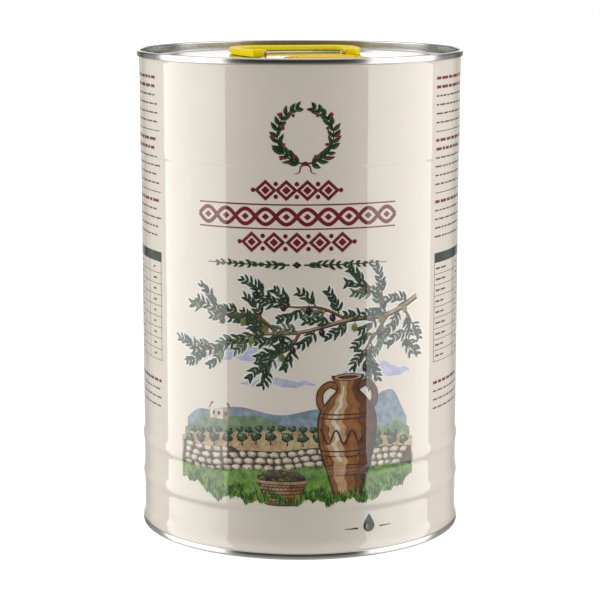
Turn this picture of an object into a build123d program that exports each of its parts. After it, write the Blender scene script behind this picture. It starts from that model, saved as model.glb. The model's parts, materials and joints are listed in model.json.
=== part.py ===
from build123d import *
from math import cos, pi, radians, sin
import os

# A round five litre oil tin with a folding plastic handle and a pull-up pouring spout.
# Millimetres, +Z up. The origin is the centre of the bottom seam's foot; the front is -Y.

# The tin
tin_height = 248.0
wall_radius = 82.3
body_sheet = 0.25
end_sheet = 0.28

# The wider band at the top of the body
band_drop = 53.1
band_swell = 0.3
band_step = 1.6
flare_swell = 0.2
flare_length = 8.0

# The two rolled beads near the foot
bead_heights = [27.1, 47.0]
bead_width = 9.6
bead_rise = 0.65

# The double seams
seam_height = 3.2
seam_gap = 0.1
seam_head_gap = 0.3
seam_chamfer = 0.35
cover_hook_length = 2.0
body_hook_length = 2.2

# The side weld at the back
weld_width = 0.8
weld_rise = 0.12

# The stamped ends
panel_depth = 4.5
countersink_drop = 0.9
countersink_width = 1.0
countersink_slope = 0.7
expansion_bead_inset = 6.5
expansion_bead_width = 3.8
expansion_bead_rise = 0.6

# The handle and its saddle, in a frame at the middle of the hinge line
handle_side_offset = 2.2
handle_front_share = 0.171
handle_turn = 8.0
pivot_height = 2.35
handle_width = 68.6
handle_reach = 57.4
grip_width = 7.4
grip_thickness = 2.3
grip_lift = 1.05
arm_width = 5.6
corner_radius = 15.5
inner_corner_radius = 10.0
flare_reach = 30.0
flare_radius = 5.0
knuckle_spacing = 47.8
knuckle_width = 5.8
knuckle_length = 3.0
knuckle_radius = 2.1
knuckle_heel = 2.25
knuckle_slope = 4.5
arm_rise_length = 6.0
arm_rise_gap = 1.5
handle_edge = 0.5
stub_radius = 1.2
stub_head_radius = 1.55
stub_head_length = 0.7
hinge_clearance = 0.05

ear_thickness = 0.6
ear_radius = 2.05
ear_side_gap = 0.4
saddle_sheet = 0.5
saddle_front = 9.0
saddle_back = 4.2
saddle_corner = 2.5
weld_spot_radius = 1.3
weld_spot_depth = 0.15
weld_spot_inset = 3.4
weld_spot_spacing = 24.0

# The spout, in a frame on its axis at the height of the lid's panel
spout_rim_distance = 35.5
spout_bearing = 16.0
cap_radius = 19.0
cap_clearance = 0.35
stop_overlap = 0.65
slide_fit = 0.1
spout_travel = 22.0
stop_gap = 0.1
guide_wall = 1.5
hole_clearance = 0.3

collar_height = 1.0
collar_lip = 1.1
gasket_thickness = 0.35
gasket_inset = 0.2
base_flange_thickness = 0.65
base_flange_overlap = 0.2
stop_lip_thickness = 1.4
catch_width = 2.6
catch_thickness = 1.2
catch_gap = 0.3

crimp_sheet = 0.3
crimp_top_width = 2.9
crimp_side_gap = 0.3
crimp_foot_width = 1.6
crimp_foot_gap = 0.07

neck_outer_radius = 15.6
neck_wall = 2.0
neck_top = -0.8
neck_flange_thickness = 2.0
pour_lip_chamfer = 0.6
band_bead_width = 1.6
band_bead_thickness = 0.6
band_height = 2.2
band_wall = 2.4
band_gap = 0.4
seal_ledge_depth = 3.5
seal_ledge_width = 1.0
seal_ledge_thickness = 0.8

seal_thickness = 0.6
seal_side_gap = 0.1
pull_ring_radius = 11.2
pull_ring_width = 2.6
pull_ring_thickness = 1.2
pull_ring_lift = 0.3
pull_post_width = 3.2

cap_top = 3.4
cap_shoulder = 1.5
cap_hub_radius = 14.0
cap_depth = 8.1
cap_bore_clearance = 0.35
cap_edge = 0.3
cap_flutes = 36
flute_radius = 0.55
flute_sink = 0.2
flute_top_gap = 1.6

bail_inner_radius = 14.9
bail_outer_radius = 18.4
bail_thickness = 1.2
bail_pin_height = 2.5
bail_pin_spacing = 2.4
bail_pin_radius = 0.6
bail_pin_clearance = 0.06
bail_pin_depth = 2.1
bail_pin_play = 0.25
bail_boss_radius = 0.9
bail_boss_inset = 0.2
bail_tab_width = 7.0
bail_tab_reach = 0.4

# How far a cutting tool runs past what it cuts
overrun = 1.0

# Heights and radii that follow from the sizes above
lid_top = tin_height - panel_depth
band_bottom = tin_height - band_drop
expansion_bead_radius = wall_radius - expansion_bead_inset
top_wall_radius = wall_radius + band_swell + flare_swell
flare_top = lid_top - countersink_drop - end_sheet
guide_bore = cap_radius + cap_clearance + stop_overlap
guide_outer = guide_bore + guide_wall
hole_radius = guide_outer + hole_clearance
collar_lip_radius = hole_radius + end_sheet + collar_lip
flange_bottom = collar_height + gasket_thickness
flange_top = flange_bottom + base_flange_thickness
flange_radius = collar_lip_radius + base_flange_overlap
stop_lip_bottom = flange_top - stop_lip_thickness
neck_flange_top = stop_lip_bottom - stop_gap - spout_travel
neck_bottom = neck_flange_top - neck_flange_thickness
neck_bore = neck_outer_radius - neck_wall
catch_top = neck_bottom - catch_gap
cap_bottom = -cap_depth
band_top = cap_bottom - band_gap
band_bead_top = band_top - band_height
cap_bore = neck_outer_radius + cap_bore_clearance
knuckle_inner = (knuckle_spacing - knuckle_width) / 2
knuckle_outer = (knuckle_spacing + knuckle_width) / 2
ear_outer = knuckle_inner - ear_side_gap
handle_half = handle_width / 2
arm_rise_reach = handle_reach - grip_width - inner_corner_radius - arm_rise_gap
arm_foot_reach = arm_rise_reach - arm_rise_length
crimp_outer = flange_radius + crimp_side_gap + crimp_sheet
spout_offset = wall_radius - spout_rim_distance
spout_place = (
    spout_offset * sin(radians(spout_bearing)),
    -spout_offset * cos(radians(spout_bearing)),
)

# The saddle and the handle share the lid behind the spout; this part of the room left is before them
room_start = spout_place[1] + crimp_outer
room_left = wall_radius - room_start - saddle_front - handle_reach
handle_place = (
    handle_side_offset,
    room_start + handle_front_share * room_left + saddle_front,
)

# The corners of a profile are given as (distance from the axis, height).


def turned(corners):
    """A solid of revolution about Z."""
    return revolve(Plane.XZ * make_face(Polyline(*corners, close=True)), Axis.Z)


def sheet_face(corners, sheet):
    """A bent sheet: the corners lie on one of its faces, and its thickness is to the right of them."""
    points = [Vector(*corner) for corner in corners]
    runs = [(end - start).normalized() for start, end in zip(points, points[1:])]
    rights = [Vector(run.Y, -run.X) for run in runs]
    far_face = [points[0] + rights[0] * sheet]
    for point, before, after in zip(points[1:-1], rights, rights[1:]):
        far_face.append(point + (before + after) * (sheet / (1 + before.dot(after))))
    far_face.append(points[-1] + rights[-1] * sheet)
    return make_face(Polyline(*points, *reversed(far_face), close=True))


def on_spout(shape):
    """Moves a shape from the spout's own frame to the lid."""
    return Pos(*spout_place, lid_top) * Rot(0, 0, spout_bearing) * shape


def on_hinge(shape):
    """Moves a shape from the handle's own frame to its hinge line above the lid."""
    return Pos(*handle_place, lid_top + pivot_height) * Rot(0, 0, handle_turn) * shape


# The body


def rolled_bead(face_radius, height):
    """The round swelling of one rolled bead, outside a face of the wall at the given radius."""
    half = bead_width / 2
    crest = ThreePointArc(
        (face_radius, height - half),
        (face_radius + bead_rise, height),
        (face_radius, height + half),
    )
    return make_face(crest + Line(crest @ 1, crest @ 0))


def body_shell():
    """The welded cylinder: one sheet, from the hook in the bottom seam to the hook in the top seam."""
    hook_offset = seam_gap + end_sheet + seam_gap
    turn_inset = end_sheet + seam_head_gap + body_sheet
    hook_reach = turn_inset - body_sheet + body_hook_length
    profile = sheet_face(
        [
            (top_wall_radius + hook_offset, tin_height - hook_reach),
            (top_wall_radius + hook_offset, tin_height - turn_inset),
            (top_wall_radius, tin_height - turn_inset),
            (top_wall_radius, flare_top),
            (wall_radius + band_swell, flare_top - flare_length),
            (wall_radius + band_swell, band_bottom + band_step),
            (wall_radius, band_bottom),
            (wall_radius, turn_inset),
            (wall_radius + hook_offset, turn_inset),
            (wall_radius + hook_offset, hook_reach),
        ],
        body_sheet,
    )
    for height in bead_heights:
        profile += rolled_bead(wall_radius, height)
        profile -= rolled_bead(wall_radius - body_sheet, height)
    return revolve(Plane.XZ * profile, Axis.Z) + side_weld()


def side_weld():
    """The welded overlap of the sheet, a narrow rib up the back of the wall above the beads."""
    rib_bottom = max(bead_heights) + bead_width / 2
    inside = wall_radius - body_sheet / 2
    outside = wall_radius + weld_rise
    profile = make_face(
        Polyline(
            (inside, rib_bottom),
            (outside, rib_bottom),
            (outside, band_bottom),
            (outside + band_swell, band_bottom + band_step),
            (outside + band_swell, flare_top - flare_length),
            (inside + band_swell, flare_top - flare_length),
            (inside + band_swell, band_bottom + band_step),
            (inside, band_bottom),
            close=True,
        )
    )
    arc = weld_width / wall_radius * 180 / pi
    rib = revolve(Plane.XZ * profile, Axis.Z, revolution_arc=arc)
    return Rot(0, 0, 90 - arc / 2) * rib


# The two ends


def seam_outer_radius(wall_outside):
    """The outside of the five layers of a seam: wall, cover hook, body hook and the end's edge."""
    return wall_outside + 3 * seam_gap + 2 * end_sheet + body_sheet


def expansion_bead(face_height):
    """The round swelling of the ring bead, above a face of the panel at the given height."""
    half = expansion_bead_width / 2
    crest = ThreePointArc(
        (expansion_bead_radius - half, face_height),
        (expansion_bead_radius, face_height + expansion_bead_rise),
        (expansion_bead_radius + half, face_height),
    )
    return make_face(crest + Line(crest @ 1, crest @ 0))


def stamped_end(wall_outside):
    """A can end: panel, expansion bead, countersink, chuck wall and the seam's rolled edge.

    The line is the sheet's upper face, and the sheet lies below it. The seam's top is at zero.
    """
    chuck_radius = wall_outside - body_sheet - end_sheet
    seam_outside = seam_outer_radius(wall_outside)
    hook_radius = wall_outside + seam_gap
    sink_outer = chuck_radius - countersink_slope
    sink_inner = sink_outer - countersink_width
    profile = sheet_face(
        [
            (0, -panel_depth),
            (sink_inner - countersink_slope, -panel_depth),
            (sink_inner, -panel_depth - countersink_drop),
            (sink_outer, -panel_depth - countersink_drop),
            (chuck_radius, -panel_depth),
            (chuck_radius, -seam_chamfer),
            (chuck_radius + seam_chamfer, 0),
            (seam_outside - seam_chamfer, 0),
            (seam_outside, -seam_chamfer),
            (seam_outside, -seam_height),
            (hook_radius, -seam_height),
            (hook_radius, -seam_height + cover_hook_length),
        ],
        end_sheet,
    )
    profile += expansion_bead(-panel_depth)
    profile -= expansion_bead(-panel_depth - end_sheet)
    return revolve(Plane.XZ * profile, Axis.Z)


def spout_collar():
    """The upturned and outward rolled edge of the hole in the lid, in the spout's frame."""
    wall_outer = hole_radius + end_sheet
    return turned(
        [
            (hole_radius, -end_sheet),
            (wall_outer, -end_sheet),
            (wall_outer, collar_height - end_sheet),
            (collar_lip_radius, collar_height - end_sheet),
            (collar_lip_radius, collar_height),
            (hole_radius, collar_height),
        ]
    )


def top_end():
    """The lid, with the collared hole for the spout."""
    blank = Pos(0, 0, tin_height) * stamped_end(top_wall_radius)
    hole = on_spout(Cylinder(hole_radius, 2 * (end_sheet + overrun)))
    return blank - hole + on_spout(spout_collar())


def bottom_end():
    """The base, the same kind of stamping turned over."""
    return mirror(stamped_end(wall_radius), about=Plane.XY)


def seam_compound(wall_outside):
    """The ring of sealing compound between the body's hook and the end, under a seam top at zero."""
    inset = seam_chamfer + end_sheet / 2
    ring_inner = wall_outside - body_sheet - end_sheet + inset
    ring_outer = seam_outer_radius(wall_outside) - inset
    return turned(
        [
            (ring_inner, -end_sheet - seam_head_gap),
            (ring_outer, -end_sheet - seam_head_gap),
            (ring_outer, -end_sheet),
            (ring_inner, -end_sheet),
        ]
    )


def top_seam_compound():
    """The compound in the top seam."""
    return Pos(0, 0, tin_height) * seam_compound(top_wall_radius)


def bottom_seam_compound():
    """The compound in the bottom seam."""
    return mirror(seam_compound(wall_radius), about=Plane.XY)


# The handle and its saddle


def handle_bracket():
    """The tinplate saddle on the lid: a spot welded strap with an ear at each end."""
    strap_depth = saddle_front + saddle_back
    strap = extrude(RectangleRounded(2 * ear_outer, strap_depth, saddle_corner), saddle_sheet)
    strap = Pos(0, (saddle_back - saddle_front) / 2, -pivot_height) * strap
    for side in (-1, 1):
        for row in (-1, 1):
            spot = Cylinder(weld_spot_radius, 2 * weld_spot_depth)
            across = saddle_back - weld_spot_inset if row > 0 else weld_spot_inset - saddle_front
            strap -= Pos(side * weld_spot_spacing / 2, across, saddle_sheet - pivot_height) * spot
    ear_face = Circle(ear_radius) + Pos(0, -pivot_height / 2) * Rectangle(2 * ear_radius, pivot_height)
    ear_face -= Circle(stub_radius + hinge_clearance)
    ear = Plane.YZ * extrude(ear_face, ear_thickness)
    right_ear = Pos(ear_outer - ear_thickness, 0, 0) * ear
    left_ear = Pos(-ear_outer, 0, 0) * ear
    return on_hinge(strap + right_ear + left_ear)


def handle_plan():
    """The handle from above: a stirrup whose arms flare out from the knuckles."""
    inner_half = handle_half - arm_width
    outer = FilletPolyline(
        (-knuckle_outer, -knuckle_heel),
        (-knuckle_outer, knuckle_length),
        (-handle_half, flare_reach),
        (-handle_half, handle_reach),
        (handle_half, handle_reach),
        (handle_half, flare_reach),
        (knuckle_outer, knuckle_length),
        (knuckle_outer, -knuckle_heel),
        radius=[flare_radius, flare_radius, corner_radius, corner_radius, flare_radius, flare_radius],
    )
    front_right = Line((knuckle_outer, -knuckle_heel), (knuckle_inner, -knuckle_heel))
    inner = FilletPolyline(
        (knuckle_inner, -knuckle_heel),
        (knuckle_inner, knuckle_length),
        (inner_half, flare_reach),
        (inner_half, handle_reach - grip_width),
        (-inner_half, handle_reach - grip_width),
        (-inner_half, flare_reach),
        (-knuckle_inner, knuckle_length),
        (-knuckle_inner, -knuckle_heel),
        radius=[
            flare_radius,
            flare_radius,
            inner_corner_radius,
            inner_corner_radius,
            flare_radius,
            flare_radius,
        ],
    )
    front_left = Line((-knuckle_inner, -knuckle_heel), (-knuckle_outer, -knuckle_heel))
    return make_face(outer.edges() + front_right.edges() + inner.edges() + front_left.edges())


def handle_side():
    """The handle from its side: tall knuckle with a square heel above, thinner grip at the back."""
    grip_bottom = grip_lift - pivot_height
    grip_top = grip_bottom + grip_thickness
    heel = JernArc((0, -knuckle_radius), (-1, 0), knuckle_radius, -90)
    back = handle_reach + overrun
    outline = Polyline(
        heel @ 1,
        (-knuckle_heel, 0),
        (-knuckle_heel, knuckle_radius),
        (knuckle_length, knuckle_radius),
        (knuckle_length + knuckle_slope, grip_top),
        (back, grip_top),
        (back, grip_bottom),
        (arm_rise_reach, grip_bottom),
        (arm_foot_reach, -knuckle_radius),
        (0, -knuckle_radius),
    )
    return make_face(heel.edges() + outline.edges())


def stub_pin():
    """One hinge stub with its snap head, pointing along X from the knuckle's inner face inwards."""
    reach = ear_side_gap + ear_thickness + ear_side_gap + stub_head_length
    head_start = reach - stub_head_length
    pin = turned(
        [
            (0, -overrun),
            (stub_radius, -overrun),
            (stub_radius, head_start),
            (stub_head_radius, head_start),
            (stub_radius, reach),
            (0, reach),
        ]
    )
    return Rot(0, -90, 0) * pin


def carry_handle():
    """The folding handle, with the stubs that turn in the saddle's ears."""
    blank = Pos(0, 0, -2 * knuckle_radius) * extrude(handle_plan(), 4 * knuckle_radius)
    side = extrude(Plane.YZ * handle_side(), handle_half + overrun, both=True)
    bow = blank & side
    grip_edges = bow.edges().filter_by(Axis.X).group_by(Axis.Y)[-1]
    bow = fillet(grip_edges.sort_by(Axis.Z)[-1], handle_edge)
    right = Pos(knuckle_inner, 0, 0) * stub_pin()
    left = mirror(right, about=Plane.YZ)
    return on_hinge(bow + right + left)


# The spout


def crimp_ring():
    """The tinplate channel that clamps the base's flange and gasket on the lid's collar."""
    inside = crimp_outer - crimp_sheet
    top_outer = flange_top + crimp_sheet
    foot_top = collar_height - end_sheet - crimp_foot_gap
    foot_bottom = foot_top - crimp_sheet
    ring = turned(
        [
            (crimp_outer - crimp_top_width, flange_top),
            (crimp_outer - crimp_top_width, top_outer),
            (crimp_outer - crimp_sheet, top_outer),
            (crimp_outer, flange_top),
            (crimp_outer, foot_bottom),
            (crimp_outer - crimp_foot_width, foot_bottom),
            (crimp_outer - crimp_foot_width, foot_top),
            (inside, foot_top),
            (inside, flange_top),
        ]
    )
    return on_spout(ring)


def spout_gasket():
    """The flat ring between the lid's collar and the base's flange."""
    ring = turned(
        [
            (hole_radius + gasket_inset, collar_height),
            (collar_lip_radius, collar_height),
            (collar_lip_radius, flange_bottom),
            (hole_radius + gasket_inset, flange_bottom),
        ]
    )
    return on_spout(ring)


def spout_base():
    """The guide tube: flange and stop lip above, catch ring below."""
    stop_lip_bore = cap_radius + cap_clearance
    tube_bottom = catch_top - catch_thickness
    tube = turned(
        [
            (stop_lip_bore, stop_lip_bottom),
            (stop_lip_bore, flange_top),
            (flange_radius, flange_top),
            (flange_radius, flange_bottom),
            (guide_outer, flange_bottom),
            (guide_outer, tube_bottom),
            (guide_bore - catch_width, tube_bottom),
            (guide_bore - catch_width, catch_top),
            (guide_bore, catch_top),
            (guide_bore, stop_lip_bottom),
        ]
    )
    return on_spout(tube)


def spout_neck():
    """The pouring neck: sliding flange below, bead for the tamper band, ledge for the seal."""
    ledge_top = neck_top - seal_ledge_depth
    ledge_bottom = ledge_top - seal_ledge_thickness
    band_bead_bottom = band_bead_top - band_bead_thickness
    tube = turned(
        [
            (neck_bore, neck_bottom),
            (guide_bore - slide_fit, neck_bottom),
            (guide_bore - slide_fit, neck_flange_top),
            (neck_outer_radius, neck_flange_top),
            (neck_outer_radius, band_bead_bottom - band_bead_width),
            (neck_outer_radius + band_bead_width, band_bead_bottom),
            (neck_outer_radius + band_bead_width, band_bead_top),
            (neck_outer_radius, band_bead_top),
            (neck_outer_radius, neck_top),
            (neck_bore + pour_lip_chamfer, neck_top),
            (neck_bore, neck_top - pour_lip_chamfer),
            (neck_bore, ledge_top),
            (neck_bore - seal_ledge_width, ledge_top),
            (neck_bore - seal_ledge_width, ledge_bottom),
            (neck_bore, ledge_bottom),
        ]
    )
    return on_spout(tube)


def tear_seal():
    """The membrane on the neck's ledge, with its pull ring and post."""
    seal_bottom = neck_top - seal_ledge_depth
    seal_top = seal_bottom + seal_thickness
    ring_bottom = seal_top + pull_ring_lift
    disc = Pos(0, 0, seal_bottom) * extrude(Circle(neck_bore - seal_side_gap), seal_thickness)
    ring_face = Circle(pull_ring_radius) - Circle(pull_ring_radius - pull_ring_width)
    ring = Pos(0, 0, ring_bottom) * extrude(ring_face, pull_ring_thickness)
    post_face = RectangleRounded(pull_post_width, pull_ring_width / 2, pull_ring_width / 5)
    post = extrude(post_face, pull_ring_lift + 2 * pull_ring_lift)
    post = Pos(0, pull_ring_width / 2 - pull_ring_radius, seal_top - pull_ring_lift) * post
    return on_spout(disc + post + ring)


def tamper_band():
    """The band that stays on the neck, resting on its bead."""
    ring = turned(
        [
            (cap_bore, band_bead_top),
            (cap_bore + band_wall, band_bead_top),
            (cap_bore + band_wall, band_top),
            (cap_bore, band_top),
        ]
    )
    return on_spout(ring)


def screw_cap():
    """The cap: raised hub with sockets for the pulls' pins, and a fluted skirt."""
    cap = turned(
        [
            (0, 0),
            (0, cap_top),
            (cap_hub_radius - cap_edge, cap_top),
            (cap_hub_radius, cap_top - cap_edge),
            (cap_hub_radius, cap_shoulder),
            (cap_radius - cap_edge, cap_shoulder),
            (cap_radius, cap_shoulder - cap_edge),
            (cap_radius, cap_bottom),
            (cap_bore, cap_bottom),
            (cap_bore, 0),
        ]
    )
    flute_length = cap_depth - flute_top_gap + overrun
    flute = Cylinder(flute_radius, flute_length, align=(Align.CENTER, Align.CENTER, Align.MAX))
    flute = Pos(cap_radius + flute_radius - flute_sink, 0, -flute_top_gap) * flute
    cap -= [Rot(0, 0, 360 / cap_flutes * turn) * flute for turn in range(cap_flutes)]
    socket_length = cap_hub_radius - pin_end() + bail_pin_play + overrun
    socket = Cylinder(bail_pin_radius + bail_pin_clearance, socket_length)
    for side in (-1, 1):
        for row in (-1, 1):
            middle = side * (pin_end() - bail_pin_play + socket_length / 2)
            place = Pos(middle, row * bail_pin_spacing / 2, bail_pin_height)
            cap -= place * Rot(0, 90, 0) * socket
    return on_spout(cap)


def cap_liner():
    """The sealing disc between the cap and the neck's rim."""
    return on_spout(Pos(0, 0, neck_top) * extrude(Circle(neck_outer_radius), -neck_top))


def pin_end():
    """How far from the middle of the cap a pull's pin ends."""
    return cap_hub_radius - bail_pin_depth


def bail():
    """One half-ring pull at the back of the cap, with a boss and a pin at each end."""
    hinge_line = bail_pin_spacing / 2
    ring = Circle(bail_outer_radius) - Circle(bail_inner_radius)
    beyond = bail_outer_radius + overrun
    half_plane = Pos(0, hinge_line + beyond / 2) * Rectangle(2 * beyond, beyond)
    tab = Pos(0, bail_outer_radius) * RectangleRounded(
        bail_tab_width, 2 * bail_tab_reach, bail_tab_reach / 2
    )
    bow = extrude((ring & half_plane) + tab, bail_thickness)
    bow = Pos(0, 0, bail_pin_height - bail_thickness / 2) * bow
    boss_start = bail_inner_radius - bail_boss_inset
    boss_length = bail_outer_radius - bail_boss_inset - boss_start
    for side in (-1, 1):
        boss_middle = side * (boss_start + boss_length / 2)
        boss = Rot(0, 90, 0) * Cylinder(bail_boss_radius, boss_length)
        bow += Pos(boss_middle, hinge_line, bail_pin_height) * boss
        pin_length = boss_start - pin_end() + bail_boss_radius
        pin_middle = side * (pin_end() + pin_length / 2)
        pin = Rot(0, 90, 0) * Cylinder(bail_pin_radius, pin_length)
        bow += Pos(pin_middle, hinge_line, bail_pin_height) * pin
    return bow


def cap_bail_back():
    """The pull that folds to the side of the handle."""
    return on_spout(bail())


def cap_bail_front():
    """The pull that folds to the tin's rim."""
    return on_spout(Rot(0, 0, 180) * bail())


pieces = [
    body_shell,
    top_end,
    bottom_end,
    top_seam_compound,
    bottom_seam_compound,
    handle_bracket,
    carry_handle,
    crimp_ring,
    spout_gasket,
    spout_base,
    spout_neck,
    tear_seal,
    tamper_band,
    screw_cap,
    cap_liner,
    cap_bail_back,
    cap_bail_front,
]

os.makedirs("parts", exist_ok=True)
for piece in pieces:
    solid = piece()
    solid.label = piece.__name__
    export_step(solid, "parts/" + piece.__name__ + ".step")
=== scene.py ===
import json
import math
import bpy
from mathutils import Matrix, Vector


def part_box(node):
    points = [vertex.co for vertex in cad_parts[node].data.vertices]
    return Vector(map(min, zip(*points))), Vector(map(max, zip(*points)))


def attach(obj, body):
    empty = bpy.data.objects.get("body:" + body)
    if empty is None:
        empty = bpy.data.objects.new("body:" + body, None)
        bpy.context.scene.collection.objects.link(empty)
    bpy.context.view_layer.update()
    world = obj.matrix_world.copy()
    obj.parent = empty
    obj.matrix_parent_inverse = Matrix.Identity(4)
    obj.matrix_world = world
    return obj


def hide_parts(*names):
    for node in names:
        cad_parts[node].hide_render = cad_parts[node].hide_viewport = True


bl_info = {
    "name": "Round oil tin looks",
    "version": (1, 0, 0),
    "blender": (4, 5, 0),
    "location": "View3D > Sidebar > Oil Tin",
    "description": "Dresses the packed model of a round oil tin with a spout",
    "category": "Object",
}

import bpy
import numpy as np

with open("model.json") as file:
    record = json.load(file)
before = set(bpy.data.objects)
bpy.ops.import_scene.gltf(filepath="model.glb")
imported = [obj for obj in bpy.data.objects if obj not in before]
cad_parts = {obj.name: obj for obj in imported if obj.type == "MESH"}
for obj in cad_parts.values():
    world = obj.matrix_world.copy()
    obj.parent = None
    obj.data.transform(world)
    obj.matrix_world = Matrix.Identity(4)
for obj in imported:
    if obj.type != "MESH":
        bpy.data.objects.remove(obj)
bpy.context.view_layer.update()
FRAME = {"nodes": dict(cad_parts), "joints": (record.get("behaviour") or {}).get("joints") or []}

MM = 0.001
TAU = 2 * math.pi

# Depth of both panels below their seam's rim, and the turn of the spout's own frame
PANEL_DEPTH = 4.5 * MM
SPOUT_BEARING = math.radians(16)

# Places that come from the frame, in metres
TIN_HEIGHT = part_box("top_end")[1].z
NECK_LOW, NECK_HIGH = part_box("spout_neck")
SPOUT_X = (NECK_LOW.x + NECK_HIGH.x) / 2
SPOUT_Y = (NECK_LOW.y + NECK_HIGH.y) / 2
LID_TOP = TIN_HEIGHT - PANEL_DEPTH
JOINTS = {joint["name"]: joint for joint in FRAME["joints"]}
HINGE = np.array(JOINTS["handle_fold"]["pos_m"])
HANDLE_TURN = math.atan2(JOINTS["handle_fold"]["axis"][1], JOINTS["handle_fold"]["axis"][0])

# Sections round a full turn, and steps in a quarter turn of a bend
ROUND_STEPS = 256
BEND_STEPS = 6


# Sizes and colours


def length_of(name, description, size):
    """A property for a length, whose usual size is given in millimetres."""
    return bpy.props.FloatProperty(name=name, description=description, default=size * MM, unit="LENGTH")


def colour_of(name, description, colour):
    """A property for a colour, whose usual value is given."""
    return bpy.props.FloatVectorProperty(name=name, description=description, default=colour, subtype="COLOR")


class OilTinSizes(bpy.types.PropertyGroup):
    """Sizes of the tin's wall, seams and print."""

    wall_radius: length_of("Wall radius", "Outside of the wall below the band", 82.3)
    sheet: length_of("Body sheet", "Thickness of the body's tinplate", 0.25)
    end_sheet: length_of("End sheet", "Thickness of the ends' tinplate", 0.28)
    band_swell: length_of("Band swell", "How far the top band stands out", 0.3)
    bead_rise: length_of("Bead rise", "How far a rolled bead stands out", 0.65)
    print_lift: length_of("Print lift", "Height of the lowest ink over the wall", 0.028)
    layer_lift: length_of("Layer lift", "Height of one layer of ink over the next", 0.01)


class OilTinColours(bpy.types.PropertyGroup):
    """Colours of the tin's finishes."""

    cream: colour_of("Cream coat", "Ground coat of the print", (0.74, 0.67, 0.57))
    tinplate: colour_of("Tinplate", "Bright tinplate of ends and fittings", (0.44, 0.43, 0.405))
    handle: colour_of("Handle", "Yellow plastic of the handle", (1.0, 0.74, 0.003))
    cap: colour_of("Cap", "Yellow plastic of the cap and its pulls", (0.96, 0.60, 0.002))
    spout: colour_of("Spout", "Natural plastic of the spout", (0.78, 0.76, 0.70))


# Surfaces


def put_mesh(name, points, faces, face_inks=None):
    """A mesh object from whole arrays: points (n, 3) and faces as one list of quads and triangles."""
    mesh = bpy.data.meshes.new(name)
    mesh.from_pydata(points, [], faces)
    mesh.polygons.foreach_set("use_smooth", np.ones(len(mesh.polygons), bool))
    if face_inks is not None:
        mesh.polygons.foreach_set("material_index", np.asarray(face_inks, np.int32))
    mesh.update()
    piece = bpy.data.objects.new(name, mesh)
    bpy.context.scene.collection.objects.link(piece)
    return piece


def grid_faces(rows, columns, close_rows, close_columns):
    """Quads between neighbours of a grid of points, with the last row or column joined to the first."""
    row = np.arange(rows if close_rows else rows - 1)[:, None]
    column = np.arange(columns if close_columns else columns - 1)[None, :]
    next_row, next_column = (row + 1) % rows, (column + 1) % columns
    here, above = row * columns, next_row * columns
    corners = [here + column, here + next_column, above + next_column, above + column]
    return np.stack(corners, axis=-1).reshape(-1, 4)


def grid_surface(grid, close_rows=False, close_columns=True, poles=False):
    """A surface from a grid (rows, columns, 3), as its points, quads and triangles.

    With poles a fan of triangles closes each end. The faces point outwards: where the volume under them,
    the sum of a . (b x c + c x d) over the quads a b c d, comes out negative, the grid's columns are read
    backwards.
    """
    rows, columns = grid.shape[:2]
    quads = grid_faces(rows, columns, close_rows, close_columns)
    centred = grid.reshape(-1, 3) - grid.reshape(-1, 3).mean(0)
    first, second, third, fourth = np.moveaxis(centred[quads], 1, 0)
    if (first * (np.cross(second, third) + np.cross(third, fourth))).sum() < 0:
        grid = grid[:, ::-1]
    points, triangles = grid.reshape(-1, 3), np.empty((0, 3), int)
    if poles:
        column, last = np.arange(columns), (rows - 1) * columns
        following, centre = (column + 1) % columns, np.full(columns, len(points))
        points = np.vstack([points, grid[0].mean(0), grid[-1].mean(0)])
        first_fan = np.stack([centre, following, column], axis=-1)
        last_fan = np.stack([centre + 1, last + column, last + following], axis=-1)
        triangles = np.vstack([first_fan, last_fan])
    return points, quads, triangles


def joined(name, surfaces):
    """One piece made of several surfaces."""
    points, faces, start = [], [], 0
    for places, quads, triangles in surfaces:
        points.append(places)
        faces += (quads + start).tolist() + (triangles + start).tolist()
        start += len(places)
    return put_mesh(name, np.vstack(points), faces)


def grid_piece(name, grid, **closing):
    """One piece made of one surface, which closing says how to close."""
    return joined(name, [grid_surface(grid, **closing)])


def bent_line(corners, radii, fixed_steps=None):
    """A line through corners with each one rounded by an arc, and a point just beside each arc.

    At a corner with half angle h between its runs, an arc of radius r touches them r / tan(h) away.
    The points beside the arcs keep the shading of the long runs flat. With fixed_steps every arc has
    that many steps and nothing beside it, so that two lines can be matched point by point.
    """
    support = 0.12 * MM
    corners = np.asarray(corners, float)
    pieces = [corners[:1]]
    for before, corner, after, radius in zip(corners, corners[1:], corners[2:], radii):
        back = (before - corner) / np.linalg.norm(before - corner)
        ahead = (after - corner) / np.linalg.norm(after - corner)
        half = math.acos(np.clip(back @ ahead, -1, 1)) / 2
        if radius <= 0 or half > math.pi / 2 - 0.01:
            pieces.append(corner[None])
            continue
        reach = radius / math.tan(half)
        middle = corner + (back + ahead) / np.linalg.norm(back + ahead) * radius / math.sin(half)
        start, end = corner + back * reach - middle, corner + ahead * reach - middle
        turn = math.pi - 2 * half
        steps = fixed_steps or max(2, math.ceil(turn / (math.pi / 2) * BEND_STEPS))
        share = np.linspace(0, 1, steps + 1)[:, None]
        arc = middle + (np.sin((1 - share) * turn) * start + np.sin(share * turn) * end) / math.sin(turn)
        run_in = np.linalg.norm(pieces[-1][-1] - arc[0])
        if run_in > 3 * support and not fixed_steps:
            pieces.append((arc[0] + back * support)[None])
        pieces.append(arc)
        if not fixed_steps:
            pieces.append((arc[-1] + ahead * support)[None])
    pieces.append(corners[-1:])
    return np.vstack(pieces)


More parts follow.
